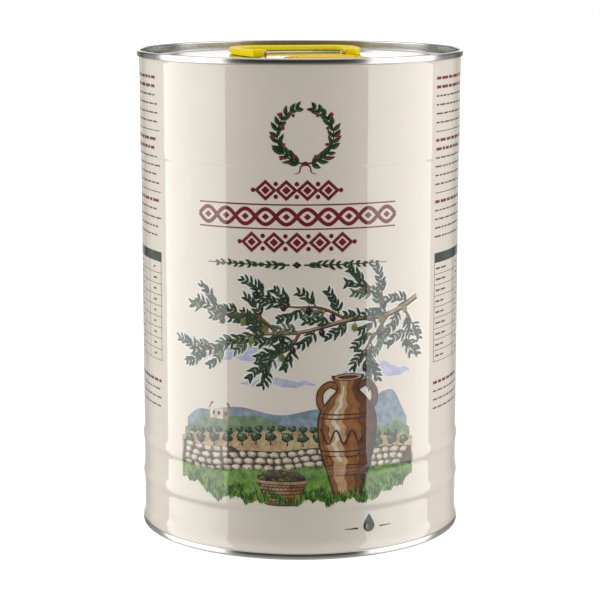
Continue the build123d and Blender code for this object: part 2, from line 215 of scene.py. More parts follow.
def sheet_loop(line, thickness):
    """The closed outline of a bent sheet: the line, and the line moved to its right by the thickness.

    Each point moves along the mean of its two runs' normals, divided by the cosine of half the bend.
    """
    runs = np.diff(line, axis=0)
    runs /= np.linalg.norm(runs, axis=1)[:, None]
    rights = np.stack([runs[:, 1], -runs[:, 0]], axis=1)
    before, after = np.vstack([rights[:1], rights]), np.vstack([rights, rights[-1:]])
    moves = (before + after) * (thickness / (1 + (before * after).sum(1)))[:, None]
    return np.vstack([line, (line + moves)[::-1]])


def circles(radii, heights, centres):
    """A grid of level circles, each row with its own radius, height and centre.

    At a turn t from the front, a point is radius sin t to the side of the centre and radius cos t before it.
    """
    turn = np.linspace(0, TAU, ROUND_STEPS, endpoint=False)
    grid = np.empty((len(radii), ROUND_STEPS, 3))
    grid[..., 0] = centres[:, :1] + radii[:, None] * np.sin(turn)
    grid[..., 1] = centres[:, 1:] - radii[:, None] * np.cos(turn)
    grid[..., 2] = heights[:, None]
    return grid


def line_at(line, marks, places):
    """Points of a flat line at some places, where marks are the places of its own points."""
    return np.stack([np.interp(places, marks, line[:, axis]) for axis in (0, 1)], axis=1)


def turned_piece(name, loop, centre=(0, 0), poles=False):
    """A surface of revolution: a profile of (radius, height) points turned about an upright axis."""
    centres = np.broadcast_to(np.asarray(centre, float), (len(loop), 2))
    return grid_piece(name, circles(loop[:, 0], loop[:, 1], centres), close_rows=not poles, poles=poles)


def round_bar(profile, place):
    """A round bar along X: a profile of (x, radius) points turned about the X axis, then moved by place."""
    turn = np.linspace(0, TAU, 32, endpoint=False)
    grid = np.empty((len(profile), len(turn), 3))
    grid[..., 0] = profile[:, :1]
    grid[..., 1] = profile[:, 1:] * np.cos(turn)
    grid[..., 2] = profile[:, 1:] * np.sin(turn)
    return grid_surface(place(grid), poles=True)


def dress(piece, material, body):
    """Gives a piece its material and the body it moves with."""
    if material is not None:
        piece.data.materials.clear()
        piece.data.materials.append(material)
    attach(piece, body)
    return piece


# Materials


def new_material(name, colour, roughness, metallic=0.0, coat=0.0, coat_roughness=0.03, specular=0.5):
    """A Principled material with its constants on the shader's own sockets."""
    material = bpy.data.materials.new(name)
    material.use_nodes = True
    shader = material.node_tree.nodes["Principled BSDF"]
    shader.inputs["Base Color"].default_value = (*colour, 1)
    shader.inputs["Roughness"].default_value = roughness
    shader.inputs["Metallic"].default_value = metallic
    shader.inputs["Coat Weight"].default_value = coat
    shader.inputs["Coat Roughness"].default_value = coat_roughness
    shader.inputs["Specular IOR Level"].default_value = specular
    return material


def object_noise(material, scale, detail, stretch=(1, 1, 1)):
    """The value of a noise in object space, stretched along the axes."""
    nodes, links = material.node_tree.nodes, material.node_tree.links
    place, mapping = nodes.new("ShaderNodeTexCoord"), nodes.new("ShaderNodeMapping")
    noise = nodes.new("ShaderNodeTexNoise")
    mapping.inputs["Scale"].default_value = stretch
    noise.inputs["Scale"].default_value = scale
    noise.inputs["Detail"].default_value = detail
    links.new(place.outputs["Object"], mapping.inputs["Vector"])
    links.new(mapping.outputs["Vector"], noise.inputs["Vector"])
    return noise.outputs["Fac"]


def add_bump(material, scale, strength, distance, stretch=(1, 1, 1), detail=2.0):
    """A fine noise in object space that tilts the surface."""
    nodes, links = material.node_tree.nodes, material.node_tree.links
    bump = nodes.new("ShaderNodeBump")
    bump.inputs["Strength"].default_value = strength
    bump.inputs["Distance"].default_value = distance
    links.new(object_noise(material, scale, detail, stretch), bump.inputs["Height"])
    links.new(bump.outputs["Normal"], nodes["Principled BSDF"].inputs["Normal"])


def add_mottle(material, first, second, scale):
    """The base colour wanders between two colours with a noise in object space."""
    nodes, links = material.node_tree.nodes, material.node_tree.links
    mottle = nodes.new("ShaderNodeValToRGB")
    for element, position, colour in zip(mottle.color_ramp.elements, (0.35, 0.65), (first, second)):
        element.position, element.color = position, (*colour, 1)
    links.new(object_noise(material, scale, detail=4.0), mottle.inputs["Fac"])
    links.new(mottle.outputs["Color"], nodes["Principled BSDF"].inputs["Base Color"])


def follow_distance(material, socket, start, end, near, far):
    """Lets a socket of the shader follow the distance from the axis: near up to start, far from end on."""
    nodes, links = material.node_tree.nodes, material.node_tree.links
    place, share = nodes.new("ShaderNodeTexCoord"), nodes.new("ShaderNodeMapRange")
    flat, away = nodes.new("ShaderNodeVectorMath"), nodes.new("ShaderNodeVectorMath")
    flat.operation, away.operation = "MULTIPLY", "LENGTH"
    flat.inputs[1].default_value = (1, 1, 0)
    for name, value in (("From Min", start), ("From Max", end), ("To Min", near), ("To Max", far)):
        share.inputs[name].default_value = value
    links.new(place.outputs["Object"], flat.inputs[0])
    links.new(flat.outputs["Vector"], away.inputs[0])
    links.new(away.outputs["Value"], share.inputs["Value"])
    links.new(share.outputs["Result"], nodes["Principled BSDF"].inputs[socket])


def varnished(name, colour, low, high, scale):
    """Printed ink or coat under the gloss varnish; its colour wanders between low and high."""
    material = new_material(name, colour, roughness=0.45, coat=1.0, coat_roughness=0.015, specular=0.2)
    add_mottle(material, low, high, scale)
    return material


def tinplate(name, colour, roughness, panel_roughness=None):
    """Bright tinplate with faint rolling marks, smoother on the panel than where the seam rolls worked it."""
    material = new_material(name, colour, roughness, metallic=1.0)
    add_bump(material, scale=260, strength=0.08, distance=0.02 * MM, stretch=(1, 14, 1), detail=3.0)
    if panel_roughness:
        rough_from = PANEL_REACH + PANEL_BLEND
        follow_distance(material, "Roughness", PANEL_REACH, rough_from, panel_roughness, roughness)
    return material


def moulded(name, colour, roughness=0.28, specular=0.5, depth=0):
    """Moulded plastic with a faint skin, which light enters to the given depth."""
    material = new_material(name, colour, roughness, specular=specular)
    shader = material.node_tree.nodes["Principled BSDF"]
    shader.inputs["Subsurface Weight"].default_value = 0.3 if depth else 0
    shader.inputs["Subsurface Radius"].default_value = (1.0, 0.8, 0.2)
    shader.inputs["Subsurface Scale"].default_value = depth
    add_bump(material, scale=900, strength=0.12, distance=0.02 * MM)
    return material


# The tin


# The ends' panels are smooth inside this radius and grow rougher beyond it
PANEL_REACH, PANEL_BLEND = 81.9 * MM, 0.4 * MM
# The wall's two beads, the step of its band, the band's ripple and the flare, by their height
BEAD_HEIGHTS = (27.1 * MM, 47.0 * MM)
BEAD_HALF = 4.8 * MM
BAND_LOW, BAND_HIGH = 194.9 * MM, 196.5 * MM
RIPPLE_HEIGHT, RIPPLE_HALF, RIPPLE_RISE = 199.6 * MM, 2.9 * MM, 0.09 * MM
FLARE_LOW, FLARE_HIGH, FLARE_SWELL = 234.32 * MM, 242.32 * MM, 0.2 * MM
# The expansion bead of both ends
END_BEAD_RADIUS, END_BEAD_HALF, END_BEAD_RISE = 75.8 * MM, 1.9 * MM, 0.6 * MM


def smooth_step(value, low, high):
    """0 below low, 1 above high, and 3t^2 - 2t^3 between them."""
    share = np.clip((value - low) / (high - low), 0, 1)
    return share * share * (3 - 2 * share)


def raised_cosine(away):
    """1 at 0, and down to 0 at 1 and -1 without a corner."""
    return 0.5 + 0.5 * np.cos(math.pi * np.clip(away, -1, 1))


def wall_face(height):
    """The radius of the wall's outer face: a cylinder, a step, a flare, and beads as raised cosines."""
    sizes = bpy.context.scene.oil_tin_sizes
    radius = sizes.wall_radius + sizes.band_swell * smooth_step(height, BAND_LOW, BAND_HIGH)
    radius = radius + FLARE_SWELL * smooth_step(height, FLARE_LOW, FLARE_HIGH)
    for middle, half, rise in [
        (BEAD_HEIGHTS[0], BEAD_HALF, sizes.bead_rise),
        (BEAD_HEIGHTS[1], BEAD_HALF, sizes.bead_rise),
        (RIPPLE_HEIGHT, RIPPLE_HALF, RIPPLE_RISE),
    ]:
        radius = radius + rise * raised_cosine((height - middle) / half)
    return radius


def wall_heights(low, high):
    """Heights that are close together where the wall is shaped, and wide apart where it is straight."""
    spans = [(middle - BEAD_HALF, middle + BEAD_HALF, 20) for middle in BEAD_HEIGHTS]
    spans += [(BAND_LOW, BAND_HIGH, 10), (RIPPLE_HEIGHT - RIPPLE_HALF, RIPPLE_HEIGHT + RIPPLE_HALF, 12)]
    spans += [(FLARE_LOW, FLARE_HIGH, 10), (low, high, 24)]
    heights = np.concatenate([np.linspace(start, end, steps + 1) for start, end, steps in spans])
    heights = np.unique(np.round(heights[(heights >= low) & (heights <= high)], 7))
    keep = np.concatenate([[True], np.diff(heights) > 0.05 * MM])
    return heights[keep]


def end_line(wall_outside):
    """The upper face of an end from its bead ring to the seam's hook, for a seam whose rim is at zero.

    From the panel it goes down into the countersink, up the chuck wall, over the rim, down the seam's
    barrel and up again behind the body's hook.
    """
    sizes = bpy.context.scene.oil_tin_sizes
    gap = 0.1 * MM
    sink_drop, sink_width, slope = 0.9 * MM, 1.0 * MM, 0.7 * MM
    seam_height, hook_length = 3.2 * MM, 2.0 * MM
    barrel, shoulder = 0.12 * MM, 1.15 * MM
    panel_bend, sink_bend, foot_bend, rim_bend = 0.6 * MM, 0.35 * MM, 0.6 * MM, 0.7 * MM
    barrel_bend, hook_bend = 7 * MM, 0.36 * MM

    chuck = wall_outside - sizes.sheet - sizes.end_sheet
    outside = wall_outside + 3 * gap + 2 * sizes.end_sheet + sizes.sheet
    hook = wall_outside + gap
    sink_out = chuck - slope
    sink_in = sink_out - sink_width
    corners = [
        (END_BEAD_RADIUS + END_BEAD_HALF + slope, -PANEL_DEPTH),
        (sink_in - slope, -PANEL_DEPTH),
        (sink_in, -PANEL_DEPTH - sink_drop),
        (sink_out, -PANEL_DEPTH - sink_drop),
        (chuck, -PANEL_DEPTH),
        (chuck, 0),
        (outside - barrel, 0),
        (outside, -shoulder),
        (outside, -seam_height + shoulder),
        (outside - barrel, -seam_height),
        (hook, -seam_height),
        (hook, -seam_height + hook_length),
    ]
    bends = [panel_bend, sink_bend, sink_bend, foot_bend, rim_bend, rim_bend]
    bends += [barrel_bend, barrel_bend, hook_bend, hook_bend]
    away = np.linspace(-1, 1, 19)
    level = END_BEAD_RISE * raised_cosine(away) - PANEL_DEPTH
    bead = np.stack([END_BEAD_RADIUS + away * END_BEAD_HALF, level], axis=1)
    return np.vstack([bead, bent_line(corners, bends)])


class OILTIN_OT_wall(bpy.types.Operator):
    """Build the printed wall with its beads, band, flare and hooks"""

    bl_idname = "oiltin.wall"
    bl_label = "Printed wall"

    def execute(self, context):
        sizes, colours = context.scene.oil_tin_sizes, context.scene.oil_tin_colours
        hook_offset, hook_reach, turn_inset = 0.48 * MM, 2.78 * MM, 0.83 * MM
        foot_hook = sizes.wall_radius + hook_offset
        top_hook = foot_hook + sizes.band_swell + FLARE_SWELL
        heights = wall_heights(turn_inset, TIN_HEIGHT - turn_inset)[::-1]
        top = [(top_hook, TIN_HEIGHT - hook_reach), (top_hook, TIN_HEIGHT - turn_inset)]
        wall = np.stack([wall_face(heights), heights], axis=1)
        line = np.vstack([top, wall, [(foot_hook, turn_inset), (foot_hook, hook_reach)]])
        piece = turned_piece("printed_wall", sheet_loop(line, sizes.sheet))
        cream, wander = np.array(colours.cream), 0.012
        coat = varnished("cream_coat", cream, cream * (1 - wander), cream * (1 + wander), scale=60)
        dress(piece, coat, "tin")
        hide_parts("body_shell")
        weld_rib(coat)
        return {"FINISHED"}


def weld_rib(coat):
    """The side weld: a low half-round rib up the back, 0.8 mm wide and 0.12 mm high."""
    half_width, rise, sunk = 0.4 * MM, 0.12 * MM, 0.1 * MM
    heights = np.linspace(BEAD_HEIGHTS[1] + BEAD_HALF, FLARE_LOW, 90)[:, None]
    across = np.linspace(-1, 1, 9)
    lift = rise * np.sqrt(1 - across**2) - sunk * (np.abs(across) == 1)
    radius = wall_face(heights) + np.concatenate([lift, np.full(len(across), -sunk)])
    turn = np.concatenate([across, across[::-1]]) * half_width / bpy.context.scene.oil_tin_sizes.wall_radius
    level = np.broadcast_to(heights, radius.shape)
    grid = np.stack([-radius * np.sin(turn), radius * np.cos(turn), level], axis=-1)
    piece = grid_piece("side_weld_rib", grid, poles=True)
    dress(piece, coat, "tin")


class OILTIN_OT_ends(bpy.types.Operator):
    """Build the lid and the base with their seams"""

    bl_idname = "oiltin.ends"
    bl_label = "Stamped ends"

    def execute(self, context):
        sizes, colours = context.scene.oil_tin_sizes, context.scene.oil_tin_colours
        bright = tinplate("bright_tinplate", tuple(colours.tinplate), roughness=0.22, panel_roughness=0.1)

        hole, lip_width, collar_height, panel_start = 21.8 * MM, 1.1 * MM, 1.0 * MM, 1.5 * MM
        lip_bend, collar_bend = 0.12 * MM, 0.3 * MM
        collar_wall = hole + sizes.end_sheet
        collar_lip = collar_wall + lip_width
        collar_top = LID_TOP + collar_height - sizes.end_sheet
        corners = [(collar_lip, collar_top), (collar_wall, collar_top), (collar_wall, LID_TOP)]
        collar = bent_line(corners + [(collar_lip + panel_start, LID_TOP)], [lip_bend, collar_bend])
        rim = end_line(sizes.wall_radius + sizes.band_swell + FLARE_SWELL) + np.array([0, TIN_HEIGHT])
        loop = sheet_loop(np.vstack([collar, rim]), sizes.end_sheet)
        # The rows are round about the spout near its hole, and round about the tin from the bead outwards
        round_spout, round_tin = 25 * MM, rim[0, 0] - 0.5 * MM
        share = np.clip((loop[:, :1] - round_spout) / (round_tin - round_spout), 0, 1)
        grid = circles(loop[:, 0], loop[:, 1], (1 - share) * np.array([[SPOUT_X, SPOUT_Y]]))
        lid = grid_piece("stamped_lid", grid, close_rows=True)
        dress(lid, bright, "tin")
        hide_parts("top_end")

        middle = (0.5 * MM, -PANEL_DEPTH)
        loop = sheet_loop(np.vstack([middle, end_line(sizes.wall_radius)]), sizes.end_sheet)
        loop[:, 1] *= -1
        base = turned_piece("stamped_base", loop[::-1], poles=True)
        dress(base, bright, "tin")
        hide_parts("bottom_end")
        return {"FINISHED"}


# The fittings


def placed(points, bearing, origin):
    """Points turned about the upright axis by a bearing and moved to an origin."""
    cosine, sine = math.cos(bearing), math.sin(bearing)
    return points @ np.array([[cosine, sine, 0], [-sine, cosine, 0], [0, 0, 1]]) + np.array(origin)


def spout_place(points, half_turn=False):
    """Points of the spout's own frame in their place on the lid, or on the far side after a half turn."""
    return placed(points, SPOUT_BEARING + (math.pi if half_turn else 0), (SPOUT_X, SPOUT_Y, LID_TOP))


def hinge_place(points):
    """Points of the handle's own frame in their place at its hinge line."""
    return placed(points, HANDLE_TURN, HINGE)


def rounded_section(half_width, half_height, corner):
    """Offsets round a rectangle with rounded corners: corner centres plus an arc of the corner's radius.

    The sizes may be arrays, one value for each station of a path.
    """
    steps = 5
    turn = (np.arange(4)[:, None] * math.pi / 2 + np.linspace(0, math.pi / 2, steps + 1)[None, :]).ravel()
    side = np.repeat([1, -1, -1, 1], steps + 1)
    level = np.repeat([1, 1, -1, -1], steps + 1)
    half_width, half_height = np.atleast_1d(half_width)[:, None], np.atleast_1d(half_height)[:, None]
    across = side * (half_width - corner) + corner * np.cos(turn)
    upward = level * (half_height - corner) + corner * np.sin(turn)
    return across, upward


def plan_line(left_side, bends):
    """A line of the handle's plan from the corners of its left side, which return on the right."""
    corners = left_side + [(-across, behind) for across, behind in reversed(left_side)]
    line = bent_line(corners, bends + bends[::-1], fixed_steps=5)
    last, parts = len(line) - 1, 8
    return line_at(line, np.arange(last + 1), np.linspace(0, last, last * parts + 1))


def handle_grid():
    """The stirrup handle: a rounded section carried between its outer and inner plan lines.

    The section is wide from line to line. Its top and foot follow the distance behind the hinge: a tall
    knuckle with a round heel, then a slope down to the grip's thickness and up from its foot.
    """
    front, knuckle_end, arm_end, arm_bend = -2.25, 3.0, 30.0, 5.0
    outer_side = [(-26.8, front), (-26.8, knuckle_end), (-34.3, arm_end), (-34.3, 57.4)]
    inner_side = [(-21.0, front), (-21.0, knuckle_end), (-28.7, arm_end), (-28.7, 50.0)]
    outer = plan_line(outer_side, [arm_bend, arm_bend, 15.5])
    inner = plan_line(inner_side, [arm_bend, arm_bend, 10.0])
    middle, half = (outer + inner) / 2, (inner - outer) / 2
    half_width = np.linalg.norm(half, axis=1)
    aside = half / half_width[:, None]
    behind = middle[:, 1]
    knuckle, grip_top, grip_foot, corner = 2.1, 1.0, 1.3, 0.55
    slope_end, rise_start, rise_end = 7.5, 32.5, 38.5
    top = knuckle - (knuckle - grip_top) * smooth_step(behind, knuckle_end, slope_end)
    foot = -knuckle + (knuckle - grip_foot) * smooth_step(behind, rise_start, rise_end)
    heel = -np.sqrt(np.clip(knuckle**2 - np.minimum(behind, 0) ** 2, 0, None))
    foot = np.where(behind < 0, heel, foot)
    across, upward = rounded_section(half_width, (top - foot) / 2, corner)
    grid = np.empty((*across.shape, 3))
    grid[..., :2] = middle[:, None, :] + aside[:, None, :] * across[..., None]
    grid[..., 2] = (top + foot)[:, None] / 2 + upward
    return grid * MM


class OILTIN_OT_handle(bpy.types.Operator):
    """Build the folding handle with its knuckles and hinge stubs"""

    bl_idname = "oiltin.handle"
    bl_label = "Handle"

    def execute(self, context):
        root, head, tip, pin, catch, end = 21.6, 19.6, 18.9, 1.2, 1.55, 0.9
        stub = np.array([(root, pin), (head, pin), (head, catch), (tip, pin), (tip, end)]) * MM
        bow = grid_surface(hinge_place(handle_grid()), poles=True)
        right = round_bar(stub[::-1], hinge_place)
        left = round_bar(stub * np.array([-1, 1]), hinge_place)
        handle = joined("yellow_handle", [bow, right, left])
        colour = tuple(context.scene.oil_tin_colours.handle)
        yellow = moulded("handle_plastic", colour, roughness=0.45, specular=0.06, depth=2.5 * MM)
        dress(handle, yellow, "handle")
        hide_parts("carry_handle")
        return {"FINISHED"}


def cap_grid():
    """The cap turned about its axis, its skirt pressed in at 36 flutes.

    A flute is a parabola across and fades out smoothly below the shoulder.
    """
    middle, plateau, side, bore = 0.4, 14.0, 19.0, 15.95
    top, shoulder, roof, foot = 3.4, 1.5, 0.0, -8.1
    outside = [(middle, top), (plateau, top), (plateau, shoulder), (side, shoulder), (side, foot)]
    inside = [(bore, foot), (bore, roof), (middle, roof)]
    line = bent_line(np.array(outside + inside) * MM, np.array([0.55, 0.2, 0.5, 0.3, 0.3, 0.3]) * MM)
    skirt_top, skirt_foot = -0.6, -7.6
    rows = np.linspace(skirt_top, skirt_foot, 18)
    skirt = np.stack([np.full(len(rows), side), rows], axis=1) * MM
    start = np.flatnonzero(line[:, 1] < skirt_foot * MM)[0]
    line = np.vstack([line[:start], skirt, line[start:]])
    flutes, steps, half_width, depth = 36, 12, 0.5 * MM, 0.22 * MM
    fade_start, fade_end = 0.2 * MM, 1.6 * MM
    turn = np.linspace(0, TAU, flutes * steps, endpoint=False)
    away = np.abs((turn * flutes / TAU + 0.5) % 1 - 0.5) * TAU / flutes * side * MM
    press = depth * np.clip(1 - (away / half_width) ** 2, 0, 1)
    on_skirt = line[:, 0] > (side - 0.5) * MM
    share = smooth_step(-line[:, 1], fade_start, fade_end) * on_skirt
    radius = line[:, :1] - share[:, None] * press[None, :]
    level = np.broadcast_to(line[:, 1:], radius.shape)
    return np.stack([radius * np.sin(turn), -radius * np.cos(turn), level], axis=-1)


def pull_surfaces(half_turn):
    """One half-ring pull: a rounded strip carried round half a circle, with a boss and a pin at each end.

    A low tab stands out in its middle, eased in from both sides.
    """
    hinge_line, inside, outside, pin_height = 1.2, 14.9, 18.4, 2.5
    half_height, corner = 0.6, 0.4
    tab_rise, tab_half, tab_ease = 0.4, 3.9, 0.8
    start = math.asin(hinge_line / (inside + outside) * 2)
    turn = np.linspace(start, math.pi - start, 97)
    tab = tab_rise * smooth_step(tab_half - np.abs((turn - math.pi / 2) * outside), 0, tab_ease)
    middle, half = (inside + outside + tab) / 2, (outside + tab - inside) / 2
    across, upward = rounded_section(half, np.full(len(turn), half_height), corner)
    radius = middle[:, None] + across
    swing, rise = np.cos(turn)[:, None], np.sin(turn)[:, None]
    grid = np.stack([radius * swing, radius * rise, pin_height + upward], axis=-1) * MM
    surfaces = [grid_surface(spout_place(grid, half_turn), poles=True)]

    def on_pivot(points):
        """Points of the pull's pivot line in their place."""
        return spout_place(points + np.array([0, hinge_line, pin_height]) * MM, half_turn)

    boss = np.array([(14.7, 0.7), (14.9, 0.9), (18.0, 0.9), (18.2, 0.7)]) * MM
    pin = np.array([(11.9, 0.6), (15.6, 0.6)]) * MM
    for profile in (boss, pin):
        surfaces.append(round_bar(profile, on_pivot))
        surfaces.append(round_bar((profile * np.array([-1, 1]))[::-1], on_pivot))
    return surfaces


class OILTIN_OT_spout(bpy.types.Operator):
    """Build the cap, its two pulls, the crimp ring and the neck's thread"""

    bl_idname = "oiltin.spout"
    bl_label = "Spout and cap"

    def execute(self, context):
        colours = context.scene.oil_tin_colours
        yellow = moulded("cap_plastic", tuple(colours.cap), roughness=0.5, specular=0.02, depth=2.0 * MM)
        cap = grid_piece("yellow_cap", spout_place(cap_grid()), poles=True)
        dress(cap, yellow, "cap")
        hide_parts("screw_cap")
        for node, half_turn in (("cap_bail_back", False), ("cap_bail_front", True)):
            pull = joined("yellow_" + node[4:], pull_surfaces(half_turn))
            dress(pull, yellow, node[4:])
            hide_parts(node)

        inside, outside, foot_reach, top, foot, sheet = 21.08, 23.98, 22.38, 2.3, 0.35, 0.3 * MM
        corners = np.array([(inside, top), (outside, top), (outside, foot), (foot_reach, foot)]) * MM
        face = bent_line(corners, [0.55 * MM, 0.42 * MM]) + np.array([0, LID_TOP])
        ring = turned_piece("crimped_ring", sheet_loop(face, sheet), (SPOUT_X, SPOUT_Y))
        crimped = tinplate("crimp_tinplate", tuple(colours.tinplate), roughness=0.14)
        dress(ring, crimped, "tin")
        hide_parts("crimp_ring")

        natural = moulded("neck_plastic", tuple(colours.spout), roughness=0.42)
        thread = grid_piece("neck_thread", spout_place(thread_grid()), poles=True)
        dress(thread, natural, "spout")
        return {"FINISHED"}


def thread_grid():
    """The neck's thread: a low rounded ridge carried up a right-hand helix, run out at both ends.

    Its height is a raised cosine across, and its foot is sunk a little into the neck.
    """
    start, pitch, turns, ends = -7.2, 3.0, 1.7, 0.08
    neck, height, half_width, sunk = 15.6, 0.27, 0.65, 0.12
    along = np.linspace(0, 1, 240)[:, None]
    across = np.linspace(-1, 1, 9)
    run_out = smooth_step(along, 0, ends) * smooth_step(1 - along, 0, ends)
    crest = neck + height * run_out * raised_cosine(across)
    radius = np.concatenate([crest, np.full_like(crest, neck - sunk)], axis=1)
    offset = np.concatenate([across, across[::-1]]) * half_width
    turn = along * turns * TAU
    level = start + along * turns * pitch + offset
    return np.stack([radius * np.cos(turn), radius * np.sin(turn), level], axis=-1) * MM


class OILTIN_OT_hidden_parts(bpy.types.Operator):
    """Give the saddle, the spout's inner pieces and the sealing compound their finishes"""

    bl_idname = "oiltin.hidden_parts"
    bl_label = "Inner and small pieces"

    def execute(self, context):
        colours = context.scene.oil_tin_colours
        compound = moulded("sealing_compound", (0.30, 0.29, 0.27), roughness=0.7)
        natural = moulded("spout_plastic", tuple(colours.spout), roughness=0.42)
        finishes = {
            "handle_bracket": tinplate("saddle_tinplate", tuple(colours.tinplate), roughness=0.2),
            "top_seam_compound": compound,
            "bottom_seam_compound": compound,
            "spout_gasket": compound,
            "spout_base": natural,
            "spout_neck": natural,
            "tear_seal": natural,
            "tamper_band": moulded("band_plastic", tuple(colours.cap)),
            "cap_liner": moulded("liner_foam", (0.85, 0.85, 0.83), roughness=0.6),
        }
        for node, material in finishes.items():
            mesh = FRAME["nodes"][node].data
            mesh.materials.clear()
            mesh.materials.append(material)
        return {"FINISHED"}


# The print

# It is laid out flat, in millimetres: first along the wall from the front's middle, to the right, and
# then up from the foot. Each shape is a grid of such points.

# The two colours that each ink wanders between, the first made deeper by INK_DEPTH
INKS = {
    "white": ((0.84, 0.82, 0.77), (0.86, 0.84, 0.80)),
    "deep_green": ((0.006, 0.018, 0.009), (0.014, 0.036, 0.018)),
    "leaf_green": ((0.028, 0.060, 0.024), (0.060, 0.105, 0.042)),
    "sage": ((0.130, 0.180, 0.110), (0.230, 0.280, 0.180)),
    "bark_dark": ((0.030, 0.014, 0.008), (0.070, 0.034, 0.018)),
    "bark_light": ((0.300, 0.170, 0.090), (0.460, 0.290, 0.170)),
    "clay_dark": ((0.085, 0.028, 0.008), (0.150, 0.052, 0.015)),
    "clay": ((0.200, 0.075, 0.018), (0.310, 0.130, 0.038)),
    "clay_light": ((0.420, 0.235, 0.110), (0.560, 0.360, 0.200)),
    "stone_dark": ((0.045, 0.034, 0.022), (0.100, 0.078, 0.052)),
    "stone": ((0.260, 0.200, 0.130), (0.400, 0.320, 0.220)),
    "stone_light": ((0.560, 0.480, 0.370), (0.760, 0.690, 0.590)),
    "ripe_olive": ((0.012, 0.008, 0.014), (0.035, 0.018, 0.034)),
    "green_olive": ((0.100, 0.130, 0.020), (0.200, 0.230, 0.050)),
    "dark_red": ((0.150, 0.006, 0.010), (0.185, 0.010, 0.014)),
    "berry_red": ((0.300, 0.012, 0.010), (0.380, 0.020, 0.014)),
    "sky_blue": ((0.400, 0.420, 0.600), (0.520, 0.540, 0.680)),
    "far_blue": ((0.170, 0.230, 0.300), (0.280, 0.350, 0.400)),
    "hill_green": ((0.120, 0.190, 0.110), (0.230, 0.310, 0.170)),
    "meadow": ((0.060, 0.170, 0.010), (0.200, 0.360, 0.050)),
    "stubble": ((0.380, 0.260, 0.120), (0.560, 0.430, 0.240)),
    "grass_dark": ((0.010, 0.045, 0.005), (0.035, 0.100, 0.012)),
    "fine_print": ((0.075, 0.050, 0.042), (0.095, 0.065, 0.055)),
}
INK_DEPTH = 0.95
DARK_LEAF, LIGHT_LEAF = ("deep_green", "leaf_green"), ("leaf_green", "sage")


def ink(name):
    """The varnished ink of that name, made once; its colour wanders a little, as in a litho print."""
    made, (first, second) = bpy.data.materials.get("ink_" + name), np.array(INKS[name])
    return made or varnished("ink_" + name, first, first * INK_DEPTH, second, scale=260)


# Rows of a shape are at most this far apart where it may lie over a bead
FINE_STEP = 0.8


class PrintSheet:
    """Collects flat shapes by ink and layer, and puts them on the wall as one piece."""

    def __init__(self, name):
        """An empty sheet whose piece will have the given name."""
        self.name, self.inks = name, []
        self.points, self.layers, self.faces, self.face_inks = [], [], [], []
        self.count = 0

    def add(self, shapes, ink_name, layer, close_columns=False):
        """Adds shapes (count, rows, columns, 2) in one ink, in one layer or in one for each shape.

        Layers count from 0 on the wall outwards.
        """
        shapes = np.asarray(shapes, float)
        if shapes.ndim == 3:
            shapes = shapes[None]
        count, rows, columns = shapes.shape[:3]
        quads = grid_faces(rows, columns, close_rows=False, close_columns=close_columns)
        faces = (np.arange(count)[:, None, None] * rows * columns + quads[None]).reshape(-1, 4)
        points = shapes.reshape(-1, 2)
        first, second, third, fourth = np.moveaxis(points[faces], 1, 0)
        across, along = third - first, fourth - second
        turned_over = across[:, 0] * along[:, 1] - across[:, 1] * along[:, 0] < 0
        faces[turned_over] = faces[turned_over][:, ::-1]
        if ink_name not in self.inks:
            self.inks.append(ink_name)
        self.points.append(points)
        self.layers.append(np.repeat(np.broadcast_to(layer, (count,)), rows * columns))
        self.faces.append(faces + self.count)
        self.face_inks.append(np.full(len(faces), self.inks.index(ink_name)))
        self.count += len(points)

    def add_round(self, shapes, ink_name, layer):
        """Adds shapes whose last column joins the first."""
        self.add(shapes, ink_name, layer, close_columns=True)

    def piece(self):
        """Puts the shapes on the wall as one piece.

        The wall point of (s, z) is at angle s over the radius, at the wall's face plus the layer's lift.
        The normals are the wall's own, so that the gloss runs on over the print.
        """
        sizes = bpy.context.scene.oil_tin_sizes
        points, layers = np.vstack(self.points), np.concatenate(self.layers)
        height = points[:, 1] * MM
        turn = points[:, 0] * MM / sizes.wall_radius
        face = wall_face(height)
        radius = face + sizes.print_lift + layers * sizes.layer_lift
        place = np.stack([radius * np.sin(turn), -radius * np.cos(turn), height], axis=1)
        step = 0.05 * MM
        slope = (wall_face(height + step) - wall_face(height - step)) / (2 * step)
        normals = np.stack([np.sin(turn), -np.cos(turn), -slope], axis=1)
        normals /= np.linalg.norm(normals, axis=1)[:, None]
        piece = put_mesh(self.name, place, np.vstack(self.faces).tolist(), np.concatenate(self.face_inks))
        for name in self.inks:
            piece.data.materials.append(ink(name))
        piece.data.normals_split_custom_set_from_vertices(normals.tolist())
        dress(piece, None, "tin")
        return piece


def points_at(along, up):
    """Points of the print from their places along the wall and up it; either may be one number."""
    return np.stack(np.broadcast_arrays(along, up), axis=-1)


def leaves(base, bearing, length, width, bend, rows=8, half=0):
    """Leaf outlines: along a bent midrib, the half width is a sine of the share of its length to a power.

    The midrib turns by bend from base to tip. half 0 is the whole leaf, and 1 or -1 one side of it.
    """
    base, bearing = np.asarray(base, float), np.asarray(bearing, float)[:, None]
    length, width, bend = (np.broadcast_to(value, len(base))[:, None] for value in (length, width, bend))
    along = np.linspace(0, 1, rows)[None, :]
    turn = bearing + bend * along
    stepping = np.stack([np.cos(turn), np.sin(turn)], axis=-1) * (length / (rows - 1))[..., None]
    spine = base[:, None, :] + np.cumsum(stepping, axis=1) - stepping
    side = np.stack([-np.sin(turn), np.cos(turn)], axis=-1)
    swell = width / 2 * np.sin(math.pi * np.clip(along, 0.02, 0.985) ** 0.8) ** 0.85
    edges = np.array({0: [-1, -0.5, 0, 0.5, 1], 1: [0, 0.5, 1], -1: [-1, -0.5, 0]}[half])
    return spine[:, :, None, :] + side[:, :, None, :] * (swell[:, :, None] * edges)[..., None]


